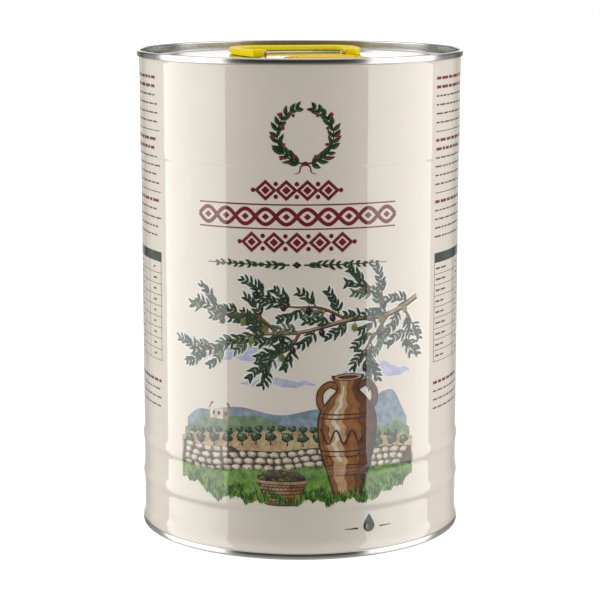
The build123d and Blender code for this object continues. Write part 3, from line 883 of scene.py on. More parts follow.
def ribbons(lines, widths, columns=2):
    """Strips along lines (count, points, 2) with a width for each point.

    Each point moves along its line's normal by a share of the width, from minus a half to a half.
    """
    lines = np.asarray(lines, float)
    if lines.ndim == 2:
        lines = lines[None]
    runs = np.gradient(lines, axis=1)
    runs /= np.linalg.norm(runs, axis=2)[..., None]
    side = np.stack([-runs[..., 1], runs[..., 0]], axis=-1)
    widths = np.broadcast_to(widths, lines.shape[:2])
    offsets = widths[..., None] * np.linspace(-0.5, 0.5, columns)
    return lines[:, :, None, :] + side[:, :, None, :] * offsets[..., None]


def discs(centres, across, upward, lumps=0.0, seed=0, sides=20, tilt=0.0):
    """Filled ovals, as rings of points that shrink to the middle, turned by the tilt.

    With lumps the edge is uneven: sines of 3, 5 and 8 waves, started at random, are added to its radius.
    """
    centres = np.asarray(centres, float)
    draw = np.random.default_rng(seed)
    steps = max(4, int(max(np.max(across), np.max(upward)) / FINE_STEP) + 2)
    turn = np.linspace(0, TAU, sides, endpoint=False)[None, :]
    edge = np.ones((len(centres), sides))
    for wave in (3, 5, 8):
        edge += lumps * np.sin(wave * turn + draw.uniform(0, TAU, (len(centres), 1))) / wave * 2
    rings = np.linspace(1, 0.02, steps)[None, :, None]
    across, upward = (np.broadcast_to(value, len(centres))[:, None, None] for value in (across, upward))
    level = rings * (edge * np.cos(turn))[:, None, :] * across
    rise = rings * (edge * np.sin(turn))[:, None, :] * upward
    tilt = np.broadcast_to(tilt, len(centres))[:, None, None]
    cosine, sine = np.cos(tilt), np.sin(tilt)
    return centres[:, None, None, :] + points_at(level * cosine - rise * sine, level * sine + rise * cosine)


def between(left, right, low, high, step=1.0):
    """The area between two curves, low(s) and high(s): its rows are weighted means of the two."""
    along = np.linspace(left, right, max(2, int((right - left) / step)) + 1)
    rows = int((high(along) - low(along)).max() / FINE_STEP) + 2
    share = np.linspace(0, 1, rows)[:, None]
    level = low(along)[None, :] * (1 - share) + high(along)[None, :] * share
    return points_at(along, level)


def bars(left, level, lengths, height):
    """Short level bars from their left ends, each a grid fine enough to follow the wall."""
    left, level, lengths = np.broadcast_arrays(np.atleast_1d(left), level, lengths)
    along = left[:, None] + lengths[:, None] * np.linspace(0, 1, 4)
    edges = np.stack([level - height / 2, level + height / 2], axis=1)
    return points_at(along[:, None, :], edges[:, :, None])


def curve_through(points, count):
    """A smooth line through points, a cubic fitted to each run with the neighbours' slopes."""
    points = np.asarray(points, float)
    slopes = np.gradient(points, axis=0)
    place = np.linspace(0, len(points) - 1 - 1e-9, count)
    index, share = place.astype(int), (place % 1)[:, None]
    start, end, out, into = points[index], points[index + 1], slopes[index], slopes[index + 1]
    return (
        start * (1 + 2 * share) * (1 - share) ** 2
        + out * share * (1 - share) ** 2
        + end * share**2 * (3 - 2 * share)
        + into * share**2 * (share - 1)
    )


def add_sprig(sheet, draw, line, pitch, length, width, layer, tones=DARK_LEAF, spread=0.75, edge=False):
    """Leaves in pairs along a stem: dark leaves with one lighter half, shrinking towards the tip.

    With edge each leaf has a pale rim below it, which parts it from what it covers.
    """
    reach = np.concatenate([[0], np.cumsum(np.linalg.norm(np.diff(line, axis=0), axis=1))])
    places = np.arange(pitch * 0.6, reach[-1], pitch)
    base = line_at(line, reach, places)
    ahead = base - line_at(line, reach, places - 0.4)
    bearing = np.arctan2(ahead[:, 1], ahead[:, 0])
    for side in (-1, 1):
        taper = 1 - 0.35 * places / reach[-1]
        turn = bearing + side * (spread + draw.uniform(-0.28, 0.28, len(places)))
        long = length * taper * draw.uniform(0.8, 1.15, len(places))
        wide = width * draw.uniform(0.8, 1.2, len(places))
        bend = -side * draw.uniform(0.1, 0.6, len(places))
        lift = layer + 0.5 * (np.arange(len(places)) % 4) + (0.25 if side > 0 else 0)
        if edge:
            rims = leaves(base, turn, long + 0.8, wide + 1.3, bend, rows=6)
            sheet.add(rims, "white", 1 + (lift - layer) / 4)
        sheet.add(leaves(base, turn, long, wide, bend), tones[0], lift)
        sheet.add(leaves(base, turn, long * 0.94, wide * 0.82, bend, half=side), tones[1], lift + 0.1)


class OILTIN_OT_wreath(bpy.types.Operator):
    """Print the round wreath of sprigs with berries at the top of the front"""

    bl_idname = "oiltin.wreath"
    bl_label = "Wreath"

    def execute(self, context):
        sheet = PrintSheet("print_wreath")
        draw = np.random.default_rng(7)
        centre, radius = np.array([2.6, 211.2]), 13.6
        berry_count, inner, outer = 7, -2.4, 2.6
        # Each stem is nearly half a circle, and berries sit inside it and outside it in turn
        for side in (-1, 1):
            turn = np.linspace(-math.pi / 2 + 0.10, math.pi / 2 - 0.30, 60)
            stem = centre + radius * points_at(side * np.cos(turn), np.sin(turn))
            sheet.add(ribbons(stem, np.linspace(0.9, 0.35, 60)), "bark_dark", 1)
            add_sprig(sheet, draw, stem, pitch=2.9, length=6.2, width=2.2, layer=1.4)
            turn = np.linspace(-math.pi / 2 + 0.45, math.pi / 2 - 0.55, berry_count)
            out = radius + np.where(np.arange(berry_count) % 2, outer, inner)[:, None]
            berries = centre + out * points_at(side * np.cos(turn), np.sin(turn))
            sheet.add_round(discs(berries, 0.85, 0.85, sides=14), "berry_red", 4.2)
        tie = centre + np.array([[0, -radius]])
        sheet.add_round(discs(tie, 1.5, 1.1), "dark_red", 4)
        for side in (-1, 1):
            bends = np.array([[0, 0], [side * 2.2, -1.6], [side * 3.0, -4.2], [side * 5.2, -5.0]])
            sheet.add(ribbons(curve_through(tie[0] + bends, 24), np.linspace(1.1, 0.3, 24)), "dark_red", 3.8)
        sheet.piece()
        return {"FINISHED"}


def lozenges(places, level, half_wide, half_high, hollow=0.02):
    """Diamonds in a row, each a ring of four sides from its edge to a hollow of that share."""
    turn = np.linspace(0, 4, 16, endpoint=False)
    corner = np.array([[1, 0], [0, 1], [-1, 0], [0, -1], [1, 0]], float)
    edge = line_at(corner, np.arange(5), turn)
    rings = np.array([1, (1 + hollow) / 2, hollow])
    shape = rings[:, None, None] * edge * np.array([half_wide, half_high])
    return points_at(places, level)[:, None, None, :] + shape


class OILTIN_OT_bands(bpy.types.Operator):
    """Print the three dark red ornamental bands and the leafy rule"""

    bl_idname = "oiltin.bands"
    bl_label = "Ornamental bands"

    def execute(self, context):
        sheet = PrintSheet("print_bands")
        middle, inset, dot, dot_rise = -1.5, 6.2, 1.15, 3.1
        for level, half_length, count in ((184.6, 21.5, 4), (159.2, 28.5, 5)):
            places = middle + np.linspace(-half_length + inset, half_length - inset, count)
            sheet.add_round(lozenges(places, level, 5.6, 5.2, hollow=0.6), "dark_red", 1)
            sheet.add_round(lozenges(places, level, 2.2, 2.1), "dark_red", 1)
            gaps = (places[1:] + places[:-1]) / 2
            ends = middle + np.array([-half_length, half_length])
            for dots, rise in ((gaps, -dot_rise), (gaps, dot_rise), (ends, 0)):
                sheet.add_round(discs(points_at(dots, level + rise), dot, dot, sides=14), "dark_red", 1)

        # Two sine waves that cross, with an eye in each opening, between two straight rules
        level, half_length, waves, swing, edge = 171.7, 51.0, 10, 3.7, 5.9
        along = np.linspace(-half_length, half_length, 321)
        for side in (-1, 1):
            rise = side * swing * np.sin(math.pi * waves * (along / half_length + 1) / 2)
            wave = points_at(middle + along, level + rise)
            sheet.add(ribbons(wave, 1.9), "dark_red", 1 if side < 0 else 2)
        eyes = middle + np.linspace(-half_length, half_length, waves + 1)
        sheet.add_round(lozenges((eyes[1:] + eyes[:-1]) / 2, level, 1.9, 1.7), "dark_red", 1)
        for rise in (-edge, edge):
            sheet.add(ribbons(points_at(middle + along, level + rise), 0.7), "dark_red", 1)

        level, gap, half_length = 148.2, 3.5, 46.0
        along = np.linspace(gap, half_length, 60)
        draw = np.random.default_rng(11)
        for side in (-1, 1):
            rule = points_at(middle + side * along, level)
            sheet.add(ribbons(rule, np.linspace(0.85, 0.4, 60)), "deep_green", 1)
            add_sprig(sheet, draw, rule[:54], pitch=3.4, length=4.4, width=1.5, layer=1.4, spread=0.6)
        sheet.add_round(lozenges(np.array([middle]), level, 2.4, 1.8), "deep_green", 1)
        sheet.piece()
        return {"FINISHED"}


# The picture at the foot of the front: its two sides
PICTURE_LEFT, PICTURE_RIGHT = -66.0, 62.0


def picture_fade(along, reach):
    """1 inside the picture, and down to 0 at its left and right edges."""
    left = smooth_step(along, PICTURE_LEFT, PICTURE_LEFT + reach)
    return left * smooth_step(-along, -PICTURE_RIGHT, reach - PICTURE_RIGHT)


def far_ridge(along):
    """The far hills' line: a wave and a bell-shaped peak over a level, faded out at the sides."""
    peak = 8 * np.exp(-(((along - 44) / 15) ** 2))
    return 66 + picture_fade(along, 14) * (9 + peak + 1.5 * np.sin(along / 6.5))


def near_ridge(along):
    """The near hills' line: a long and a short wave over a level, faded out at the sides."""
    return 62 + picture_fade(along, 12) * (6 + 4.6 * np.sin(along / 17 + 3.4) + 0.9 * np.sin(along / 4.3))


def field_top(along):
    """The field's upper edge: a long wave over a level, faded out at the sides."""
    return 58 + picture_fade(along, 8) * (5 + 2.4 * np.sin(along / 19 + 2.0))


def wall_foot(along):
    """The foot of the dry stone wall: a level with a long and a short wave."""
    return 44.5 + 2.0 * np.sin(along / 22 + 1.0) + 0.5 * np.sin(along / 6)


def wall_top(along):
    """The top of the dry stone wall: its foot moved up, and by one course more at the left."""
    return wall_foot(along) + 10.2 + 2.6 * smooth_step(-along, 30, 36)


def meadow_top(along):
    """The meadow's upper edge: the foot of the wall moved up a little, with short waves."""
    return wall_foot(along) + 0.9 + 0.5 * np.sin(along / 1.7)


def ground_foot(along):
    """The meadow's ragged foot: three short waves over a level that rises at both sides."""
    ragged = 1.2 * np.sin(along / 3.1) + 0.8 * np.sin(along / 1.3) + 0.4 * np.sin(along / 0.6)
    return 29.5 + 8 * (1 - picture_fade(along, 24)) + ragged


def scattered_blades(sheet, draw, count, low, high, size, ink_name, layer):
    """Blades of grass strewn between two curves, leaning a little either way."""
    places = draw.uniform(PICTURE_LEFT + 5, PICTURE_RIGHT - 5, count)
    base = points_at(places, low(places) + draw.uniform(0, 1, count) * (high(places) - low(places)))
    bearing = math.pi / 2 + draw.uniform(-0.8, 0.8, count)
    long, bend = draw.uniform(0.5, 1.1, count) * size, draw.uniform(-0.7, 0.7, count)
    blades = leaves(base, bearing, long, size * 0.14, bend, rows=5)
    sheet.add(blades, ink_name, layer + 0.5 * (np.arange(count) % 3))


def add_cloud(sheet, start, end, level, rise):
    """A cloud from start to end: its foot has waves, and its top is half a sine with puffs on it."""

    def foot(along):
        """The cloud's foot."""
        return level + 0.7 * np.sin(along / 2.9) + 0.3 * np.sin(along / 1.1)

    def top(along):
        """The cloud's top."""
        share = (along - start) / (end - start)
        puffs = 0.75 + 0.18 * np.abs(np.sin(along / 4.1)) + 0.10 * np.abs(np.sin(along / 1.9))
        return foot(along) + 0.3 + rise * np.sin(math.pi * share) ** 0.8 * puffs

    sheet.add(between(start, end, foot, top), "sky_blue", 0)


def add_farmhouse(sheet):
    """A farmhouse on the near hill: two walls, a roof and three windows."""
    left, foot = -47.0, near_ridge(-42.0) - 2.5
    sheet.add(bars(left, foot + 2.6, 11.0, 5.2), "stone_light", 3)
    sheet.add(bars(left + 7.4, foot + 2.6, 3.6, 5.2), "stone", 3.5)
    roof = [[(-1.2, 5.0), (12.0, 5.0)], [(0.8, 8.4), (10.4, 8.4)]]
    sheet.add(np.array([left, foot]) + np.array(roof), "clay", 3.5)
    windows = left + np.array([1.4, 4.4, 8.4])
    sheet.add(bars(windows, foot + 2.9, 1.2, 1.7), "bark_dark", 4)


def add_orchard(sheet, draw):
    """Two rows of round trees, the nearer ones larger, each crown in three tones."""
    crown_tones = (
        (0.95, 0.0, 0.62, 0.16, "deep_green"),
        (1.02, -0.05, 0.50, 0.22, "leaf_green"),
        (1.18, -0.18, 0.22, 0.30, "sage"),
    )
    for number, (rise, size, start, end) in enumerate([(7.5, 3.2, -58, 56), (2.4, 4.6, -61, 58)]):
        places = np.arange(start, end, size * 1.7)
        places = places + draw.uniform(-0.7, 0.7, len(places))
        levels = field_top(places) - 9.5 + rise + draw.uniform(-0.5, 0.5, len(places))
        trunk = points_at(places, levels)
        lines = trunk[:, None, :] + np.array([[0.0, 0.0], [0.05, 0.3], [-0.04, 0.55]]) * size
        layer = 4.5 + 1.5 * number
        sheet.add(ribbons(lines, np.array([0.20, 0.12, 0.12]) * size), "bark_dark", layer)
        for rise, side, reach, lumps, name in crown_tones:
            crowns, half = trunk + np.array([side, rise]) * size, reach * size
            layer += 0.4
            seed = number + int(reach * 100)
            sheet.add_round(discs(crowns, half, 0.82 * half, lumps, seed), name, layer)


def add_stones(sheet, draw):
    """The dry stone wall: a dark ground with courses of uneven stones, each lit from the upper left."""
    left, right = PICTURE_LEFT + 2.5, PICTURE_RIGHT - 2.5
    sheet.add(between(PICTURE_LEFT + 1, PICTURE_RIGHT - 1, wall_foot, wall_top), "stone_dark", 7)
    for course, end in enumerate((right, right, right, -34)):
        widths = draw.uniform(3.4, 6.4, 40)
        places = left + np.cumsum(widths) - widths / 2
        shown = places + widths / 2 < end
        places, widths = places[shown], widths[shown]
        levels = wall_foot(places) + 1.9 + 3.2 * course + draw.uniform(-0.2, 0.2, len(places))
        stones = points_at(places, levels)
        whole = discs(stones, widths * 0.46, 1.45, lumps=0.10, seed=course, sides=22)
        upper_left = np.array([-0.25, 0.25])
        lit = discs(stones + upper_left, widths * 0.34, 1.0, lumps=0.2, seed=course + 9, sides=22)
        sheet.add_round(whole, "stone", 7.5)
        sheet.add_round(lit, "stone_light", 8)


class OILTIN_OT_valley(bpy.types.Operator):
    """Print the picture's grounds: clouds, hills, a farmhouse, an orchard, a dry stone wall and a meadow"""

    bl_idname = "oiltin.valley"
    bl_label = "Valley"

    def execute(self, context):
        sheet = PrintSheet("print_valley")
        draw = np.random.default_rng(23)
        left, right = PICTURE_LEFT, PICTURE_RIGHT
        for start, end, level, rise in ((-60, -4, 100, 10), (18, 60, 91, 7), (-30, 8, 88, 4)):
            add_cloud(sheet, start, end, level, rise)

        def over_near(along):
            """The far hills' line, or the near hills' where that is higher."""
            return np.maximum(far_ridge(along), near_ridge(along))

        sheet.add(between(left + 4, right - 4, near_ridge, over_near), "far_blue", 0.5)
        sheet.add(between(left + 2, right - 2, field_top, near_ridge), "hill_green", 1)
        sheet.add(between(left, right, wall_foot, field_top), "stubble", 1.5)

        # The furrows run up the field and draw together towards its top
        starts = np.linspace(-60, 56, 30)
        ends = starts * 0.72 + 2
        low, high = points_at(starts, wall_foot(starts) + 9), points_at(ends, field_top(ends) - 0.8)
        furrows = low[:, None, :] + (high - low)[:, None, :] * np.linspace(0, 1, 16)[:, None]
        sheet.add(ribbons(furrows, np.linspace(0.55, 0.25, 16)), "bark_light", 2)
        add_farmhouse(sheet)
        add_orchard(sheet, draw)
        add_stones(sheet, draw)

        def below_foot(along):
            """A line just below the meadow's foot."""
            return ground_foot(along) - 1

        def above_foot(along):
            """A line some way above the meadow's foot."""
            return ground_foot(along) + 5

        sheet.add(between(left, right, ground_foot, meadow_top, step=0.7), "meadow", 8.5)
        scattered_blades(sheet, draw, 260, ground_foot, meadow_top, 2.6, "leaf_green", 9)
        scattered_blades(sheet, draw, 170, ground_foot, meadow_top, 3.2, "hill_green", 9)
        scattered_blades(sheet, draw, 420, below_foot, above_foot, 4.2, "grass_dark", 10)
        sheet.piece()
        return {"FINISHED"}


# The jar: its place, and its half widths with the heights that they are at
JAR_PLACE = np.array([24.0, 31.5])
JAR_FOOT = [(5.6, 0), (6.6, 1.6), (9.8, 12), (13.6, 25), (14.8, 35), (13.6, 43)]
JAR_NECK = [(8.6, 50), (5.4, 53.5), (5.2, 56.5), (7.4, 59.5), (7.6, 61)]
# The basket: its place, its height, and its half widths at the foot and the top
BASKET_PLACE = np.array([-9.0, 28.5])
BASKET_HEIGHT, BASKET_FOOT, BASKET_TOP = 11.5, 8.6, 12.2


def jar_area(first, last, grow=0.0, low=0.0, high=1.0):
    """The part of the jar between two lines, each a share of its half width that waves with the height."""
    profile = curve_through(JAR_FOOT + JAR_NECK, 90)[int(low * 89) : int(high * 89) + 1]
    height = profile[:, 1:]
    wave = 0.06 * np.sin(height / 2.3) + 0.04 * np.sin(height / 0.9)
    start, end = (share + wave * (abs(share) < 0.99) for share in (first, last))
    share = np.linspace(0, 1, 12)
    across = (profile[:, :1] + grow) * (start * (1 - share) + end * share)
    return JAR_PLACE + points_at(across, height * (1 + grow / 45) - grow * 0.6)


def add_jar(sheet):
    """The jar: two handles, its outline and clay, light and shade down it, rings, a wave and its mouth."""
    handle = np.array([(5.0, 55.5), (9.5, 57.2), (13.8, 53.5), (14.0, 47.5), (11.6, 44.0)])
    for side, name in ((-1, "clay"), (1, "clay_dark")):
        line = JAR_PLACE + curve_through(handle * np.array([side, 1]), 40)
        sheet.add(ribbons(line, 3.6, 4), "bark_dark", 12)
        sheet.add(ribbons(line, 2.3, 3), name, 12.5)
    sheet.add(jar_area(-1, 1, grow=0.8), "bark_dark", 13)
    sheet.add(jar_area(-1, 1), "clay", 13.5)
    sheet.add(jar_area(-0.70, -0.12, low=0.03, high=0.96), "clay_light", 14)
    sheet.add(jar_area(-0.50, -0.34, low=0.25, high=0.80), "stone_light", 14.5)
    sheet.add(jar_area(0.42, 1), "clay_dark", 14)
    sheet.add(jar_area(0.84, 1, low=0.02, high=0.85), "bark_dark", 14.5)
    share = np.linspace(-0.97, 0.97, 40)
    sag = 1.5 * np.sqrt(1 - share**2)
    for level, half_width in ((22.0, 12.8), (24.6, 13.5), (41.0, 14.1), (43.2, 13.5)):
        sheet.add(ribbons(JAR_PLACE + points_at(share * half_width, level - sag), 0.7), "bark_dark", 15)
    wave = points_at(share * 14.3, 31.8 - sag + 3.6 * np.sin(share * 11))
    sheet.add(ribbons(JAR_PLACE + wave, 1.0), "bark_dark", 15)
    mouth = JAR_PLACE + np.array([[0, 60.6]])
    rings = ((7.6, 1.9, "bark_dark"), (6.9, 1.4, "clay_light"), (5.4, 0.9, "bark_dark"))
    for number, (half_wide, half_high, name) in enumerate(rings):
        sheet.add_round(discs(mouth, half_wide, half_high, sides=30), name, 15 + 0.5 * number)


def basket_points(across, share):
    """Points of the basket's side: across from -1 to 1, and up by a share of its height.

    It widens evenly, and its level rows sag by the square root of 1 - across^2.
    """
    half = BASKET_FOOT + (BASKET_TOP - BASKET_FOOT) * share
    return BASKET_PLACE + points_at(across * half, share * BASKET_HEIGHT - np.sqrt(1 - across**2))


def add_basket(sheet, draw):
    """The basket: a heap of olives, its dark side, rows of short reeds, and a rim of two tones."""
    count, heap = 70, 5.2
    olives = np.stack([draw.uniform(-1, 1, count) * (BASKET_TOP - 1.5), draw.uniform(0, 1, count)], axis=1)
    olives[:, 1] = BASKET_HEIGHT + olives[:, 1] * heap * np.sqrt(1 - (olives[:, 0] / BASKET_TOP) ** 2)
    olives = olives[np.argsort(-olives[:, 1])] + BASKET_PLACE
    order = 12 + 0.05 * np.arange(count)
    sheet.add_round(discs(olives, 1.75, 1.45, sides=12), "bark_dark", order)
    for first, name in enumerate(("ripe_olive", "green_olive", "leaf_green")):
        chosen = slice(first, count, 3)
        sheet.add_round(discs(olives[chosen], 1.45, 1.15, sides=12), name, order[chosen] + 0.03)
    sheet.add(basket_points(np.linspace(-1, 1, 22), np.linspace(0, 1, 18)[:, None]), "bark_dark", 16)
    pitch, length, arch = 0.178, 0.15, 0.03
    for row in range(6):
        level = (row + 0.5) / 6.4
        for step in range(11):
            start = -0.98 + pitch * step + pitch / 2 * (row % 2)
            reed = np.linspace(start, min(start + length, 0.99), 6)
            line = basket_points(reed, level + arch * np.sin((reed - start) / length * math.pi))
            sheet.add(ribbons(line, 1.25), "bark_light" if step < 7 else "clay", 16.5)
    rim = basket_points(np.linspace(-0.999, 0.999, 40), 1.0)
    sheet.add(ribbons(rim, 2.4, 3), "bark_dark", 17)
    sheet.add(ribbons(rim, 1.4, 3), "bark_light", 17.5)


def add_tufts(sheet, draw):
    """Grass that stands before the foot of the jar and of the basket."""
    count = 90
    for centre, half in ((JAR_PLACE[0], 11), (BASKET_PLACE[0], 12)):
        places = centre + draw.uniform(-half, half, count)
        base = points_at(places, ground_foot(places) + draw.uniform(-1, 1.5, count))
        bearing = math.pi / 2 + draw.uniform(-0.6, 0.6, count)
        length, bend = draw.uniform(2.2, 4.6, count), draw.uniform(-0.5, 0.5, count)
        blades = leaves(base, bearing, length, 0.6, bend, rows=5)
        sheet.add(blades, "grass_dark", 18)
        sheet.add(blades[::3] + np.array([0.8, 0.2]), "meadow", 18.5)


class OILTIN_OT_jar(bpy.types.Operator):
    """Print the clay oil jar and the basket of olives that stand on the meadow"""

    bl_idname = "oiltin.jar"
    bl_label = "Jar and basket"

    def execute(self, context):
        sheet, tufts = PrintSheet("print_jar"), PrintSheet("print_tufts")
        draw = np.random.default_rng(3)
        add_jar(sheet)
        add_basket(sheet, draw)
        sheet.piece()
        add_tufts(tufts, draw)
        tufts.piece()
        return {"FINISHED"}


# The bough first, then its arms: the points of each, and how many its smooth line has
BRANCH_ARMS = [
    ([(64, 129), (46, 122), (24, 120.5), (0, 115), (-24, 113), (-44, 105), (-58, 102)], 160),
    ([(46, 122), (38, 112), (33, 104), (36, 95)], 60),
    ([(24, 120.5), (10, 127), (-6, 128), (-22, 135)], 70),
    ([(-10, 113.5), (-22, 123), (-38, 123), (-54, 129)], 70),
    ([(0, 115), (-5, 107), (-14, 102), (-18, 95)], 60),
    ([(40, 121.5), (42, 131), (34, 137), (22, 139)], 50),
    ([(54, 125), (60, 117), (57, 109), (60, 101)], 50),
]


def add_twigs(sheet, draw, arm, number):
    """Bent twigs with leaves, which leave an arm to both sides in turn."""
    for count, place in enumerate(range(8, len(arm) - 6, 9)):
        ahead = arm[place + 1] - arm[place]
        side = 1 if (count + number) % 2 else -1
        bearing = math.atan2(ahead[1], ahead[0]) + side * draw.uniform(0.45, 0.95)
        reach = draw.uniform(9, 16)
        turn = bearing - side * np.linspace(0, 0.6, 16)
        twig = arm[place] + np.cumsum(points_at(np.cos(turn), np.sin(turn)), axis=0) * reach / len(turn)
        sheet.add(ribbons(twig, np.linspace(0.7, 0.3, 16)), "bark_dark", 7)
        tones = DARK_LEAF if draw.random() < 0.8 else LIGHT_LEAF
        layer = 7.5 + 2.2 * (count % 2)
        add_sprig(sheet, draw, twig, pitch=2.2, length=5.4, width=1.5, layer=layer, tones=tones, edge=True)


def add_fruit(sheet, draw, arm):
    """Olives that hang from an arm on short stalks, some ripe and some green, each with a gleam."""
    hung = arm[12::19]
    fruit = hung + draw.uniform(-1.5, 1.5, (len(hung), 2)) - np.array([0, 3.0])
    ripe = draw.random(len(fruit)) < 0.6
    for name, chosen in (("ripe_olive", fruit[ripe]), ("green_olive", fruit[~ripe])):
        if len(chosen):
            stalk = chosen[:, None, :] + np.array([[0, 3.4], [0.2, 2.4], [0, 1.4]])
            sheet.add(ribbons(stalk, 0.35), "bark_dark", 14)
            sheet.add_round(discs(chosen, 1.5, 2.0, tilt=0.2), name, 14.5)
            gleam = chosen + np.array([-0.4, 0.7])
            sheet.add_round(discs(gleam, 0.3, 0.5, sides=10, tilt=-0.3), "sage", 15)


class OILTIN_OT_branch(bpy.types.Operator):
    """Print the fruiting branch that hangs over the valley"""

    bl_idname = "oiltin.branch"
    bl_label = "Branch"

    def execute(self, context):
        sheet = PrintSheet("print_branch")
        draw = np.random.default_rng(41)
        for number, (points, count) in enumerate(BRANCH_ARMS):
            arm = curve_through(points, count)
            width = np.linspace(1.8 if number else 3.2, 0.5, count)
            sheet.add(ribbons(arm, width + 1.6, 3), "white", 1)
            sheet.add(ribbons(arm, width, 3), "bark_dark", 6)
            lit = arm + np.array([0, 0.16]) * width[:, None]
            sheet.add(ribbons(lit, width * 0.5), "clay" if number else "bark_light", 6.5)
            add_twigs(sheet, draw, arm, number)
            tip = arm[int(count * 0.6) :]
            add_sprig(sheet, draw, tip, pitch=3.4, length=5.8, width=1.6, layer=12, edge=True)
            add_fruit(sheet, draw, arm)
        sheet.piece()
        return {"FINISHED"}


class OILTIN_OT_drop(bpy.types.Operator):
    """Print the small oil drop at the lower right of the front"""

    bl_idname = "oiltin.drop"
    bl_label = "Oil drop"

    def execute(self, context):
        sheet = PrintSheet("print_drop")
        centre, half_width, tip, rule_level = np.array([[35.5, 15.4]]), 3.1, 6.2, 14.6
        # A circle whose upper half is drawn up to the tip, and narrowed by 0.75 times sine to the 1.5
        turn = np.linspace(0, TAU, 40, endpoint=False)
        swing, rise = np.cos(turn), np.sin(turn)
        narrowed = half_width * swing * (1 - 0.75 * np.clip(rise, 0, 1) ** 1.5)
        edge = points_at(narrowed, rise * np.where(rise > 0, tip, half_width))
        rings = np.array([1, 0.66, 0.33, 0.02])[:, None, None]
        sheet.add_round(centre + rings * edge, "deep_green", 1)
        gleam = centre + np.array([[-1.1, -0.4]])
        sheet.add_round(discs(gleam, 0.5, 1.1, sides=12, tilt=-0.3), "sage", 1.6)
        for side in (-1, 1):
            rule = points_at(centre[0, 0] + side * np.linspace(6, 13, 12), rule_level)
            sheet.add(ribbons(rule, np.linspace(0.9, 0.3, 12)), "deep_green", 1)
        sheet.piece()
        return {"FINISHED"}


def rule_across(sheet, start, end, level, height, ink_name):
    """A level line from start to end, in short bars that overlap a little."""
    step, lap = 3.0, 0.02
    sheet.add(bars(np.arange(start, end - 2, step), level, step + lap, height), ink_name, 1)


def stroke_rows(sheet, draw, start, end, top, rows):
    """Rows of plain strokes of uneven length, one for each letter: H for red, l for fine, r for a rule."""
    pitch, gap, most = 4.4, 1.1, 12
    for number, kind in enumerate(rows):
        level = top - pitch * number
        if kind == "r":
            rule_across(sheet, start, end, level, 0.4, "deep_green")
            continue
        heading = kind == "H"
        words = draw.uniform(2.2, 6.4, most) * (1.15 if heading else 1)
        left = start + np.concatenate([[0], np.cumsum(words + gap)[:-1]])
        shown = left + words < end
        strokes = bars(left[shown], level, words[shown], 1.5 if heading else 0.8)
        sheet.add(strokes, "dark_red" if heading else "fine_print", 1)


def ruled_table(sheet, draw, start, end, top):
    """A table of nine rows under a dark head, with short strokes for its entries."""
    rows, pitch, head, head_gap, column, entry = 9, 5.6, 5.0, 0.2, 24.0, 9.5
    rule_across(sheet, start, end, top, head, "deep_green")
    for row in range(rows):
        level = top - 5.5 - pitch * row
        rule_across(sheet, start, end, level - pitch / 2, 0.3, "fine_print")
        words = draw.uniform(3, 6, 3)
        left = start + 1.5 + np.array([0, words[0] + 1])
        sheet.add(bars(left, level, words[:2], 0.9), "fine_print", 1)
        sheet.add(bars(end - entry, level, words[2:] * 0.7, 0.9), "fine_print", 1)
    posts = np.array([start, start + column, end - 0.6])
    heights = np.linspace(top - head / 2, top - head / 2 - head_gap - rows * pitch, 30)
    sheet.add(ribbons(points_at(posts[:, None], heights), 0.35), "fine_print", 1.5)


class OILTIN_OT_side_panels(bpy.types.Operator):
    """Print the two side panels: rows of plain bars, red headings and a ruled table"""

    bl_idname = "oiltin.side_panels"
    bl_label = "Side panels"

    def execute(self, context):
        draw = np.random.default_rng(5)
        for name, start, end in (("print_panel_left", -122.0, -83.0), ("print_panel_right", 79.0, 118.0)):
            sheet = PrintSheet(name)
            stroke_rows(sheet, draw, start, end, 236.0, "HHllllrHHllllrHllll")
            ruled_table(sheet, draw, start, end, 146.0)
            stroke_rows(sheet, draw, start, end, 82.0, "Hlll")
            sheet.piece()
        return {"FINISHED"}


# The stage


class OILTIN_OT_stage(bpy.types.Operator):
    """Set the floor, the studio light and the camera"""

    bl_idname = "oiltin.stage"
    bl_label = "Stage"

    def execute(self, context):
        reach, drop = 6.0, 0.05 * MM
        sides = (-reach, reach)
        corners = np.array([[(across, behind, -drop) for across in sides] for behind in sides])
        floor = grid_piece("floor", corners, close_columns=False)
        floor.data.materials.append(floor_paper())
        floor.visible_glossy = False
        floor.visible_diffuse = False
        softbox("left_softbox", bearing=80.4, half_angle=28.6, distance=0.95, radiance=3.25)
        softbox("right_softbox", bearing=-75.6, half_angle=28.8, distance=0.95, radiance=3.05)
        area_light("overhead_panel", size=(2.4, 1.8), power=7, place=(0, -0.1, 1.9))
        studio_world()
        camera()
        context.scene.view_settings.view_transform = "Standard"
        context.scene.cycles.use_denoising = True
        return {"FINISHED"}


def floor_paper():
    """White paper that glows a little near the tin, where its shadow shows, and more farther off."""
    paper = new_material("floor_paper", (0.9, 0.9, 0.9), roughness=0.9, specular=0.0)
    paper.node_tree.nodes["Principled BSDF"].inputs["Emission Color"].default_value = (1, 1, 1, 1)
    follow_distance(paper, "Emission Strength", start=0.15, end=1.2, near=0.55, far=1.0)
    return paper


# Brightness of the room: ahead of the tin, beside it below and above the horizon, behind it above and
# below the horizon, overhead, below, and for matt surfaces
ROOM_FRONT, ROOM_LOW, ROOM_SIDE, BACKDROP, BACKDROP_FOOT = 0.014, 0.45, 0.03, 1.8, 0.5
CEILING, GROUND, ROOM_FILL = 0.9, 0.75, 0.235
# The upright lights: their foot, the height below which they are dimmer, their top, and how much dimmer
BOX_FOOT, BOX_STEP, BOX_TOP, BOX_DIM = -0.45, -0.26, 0.8, 0.75


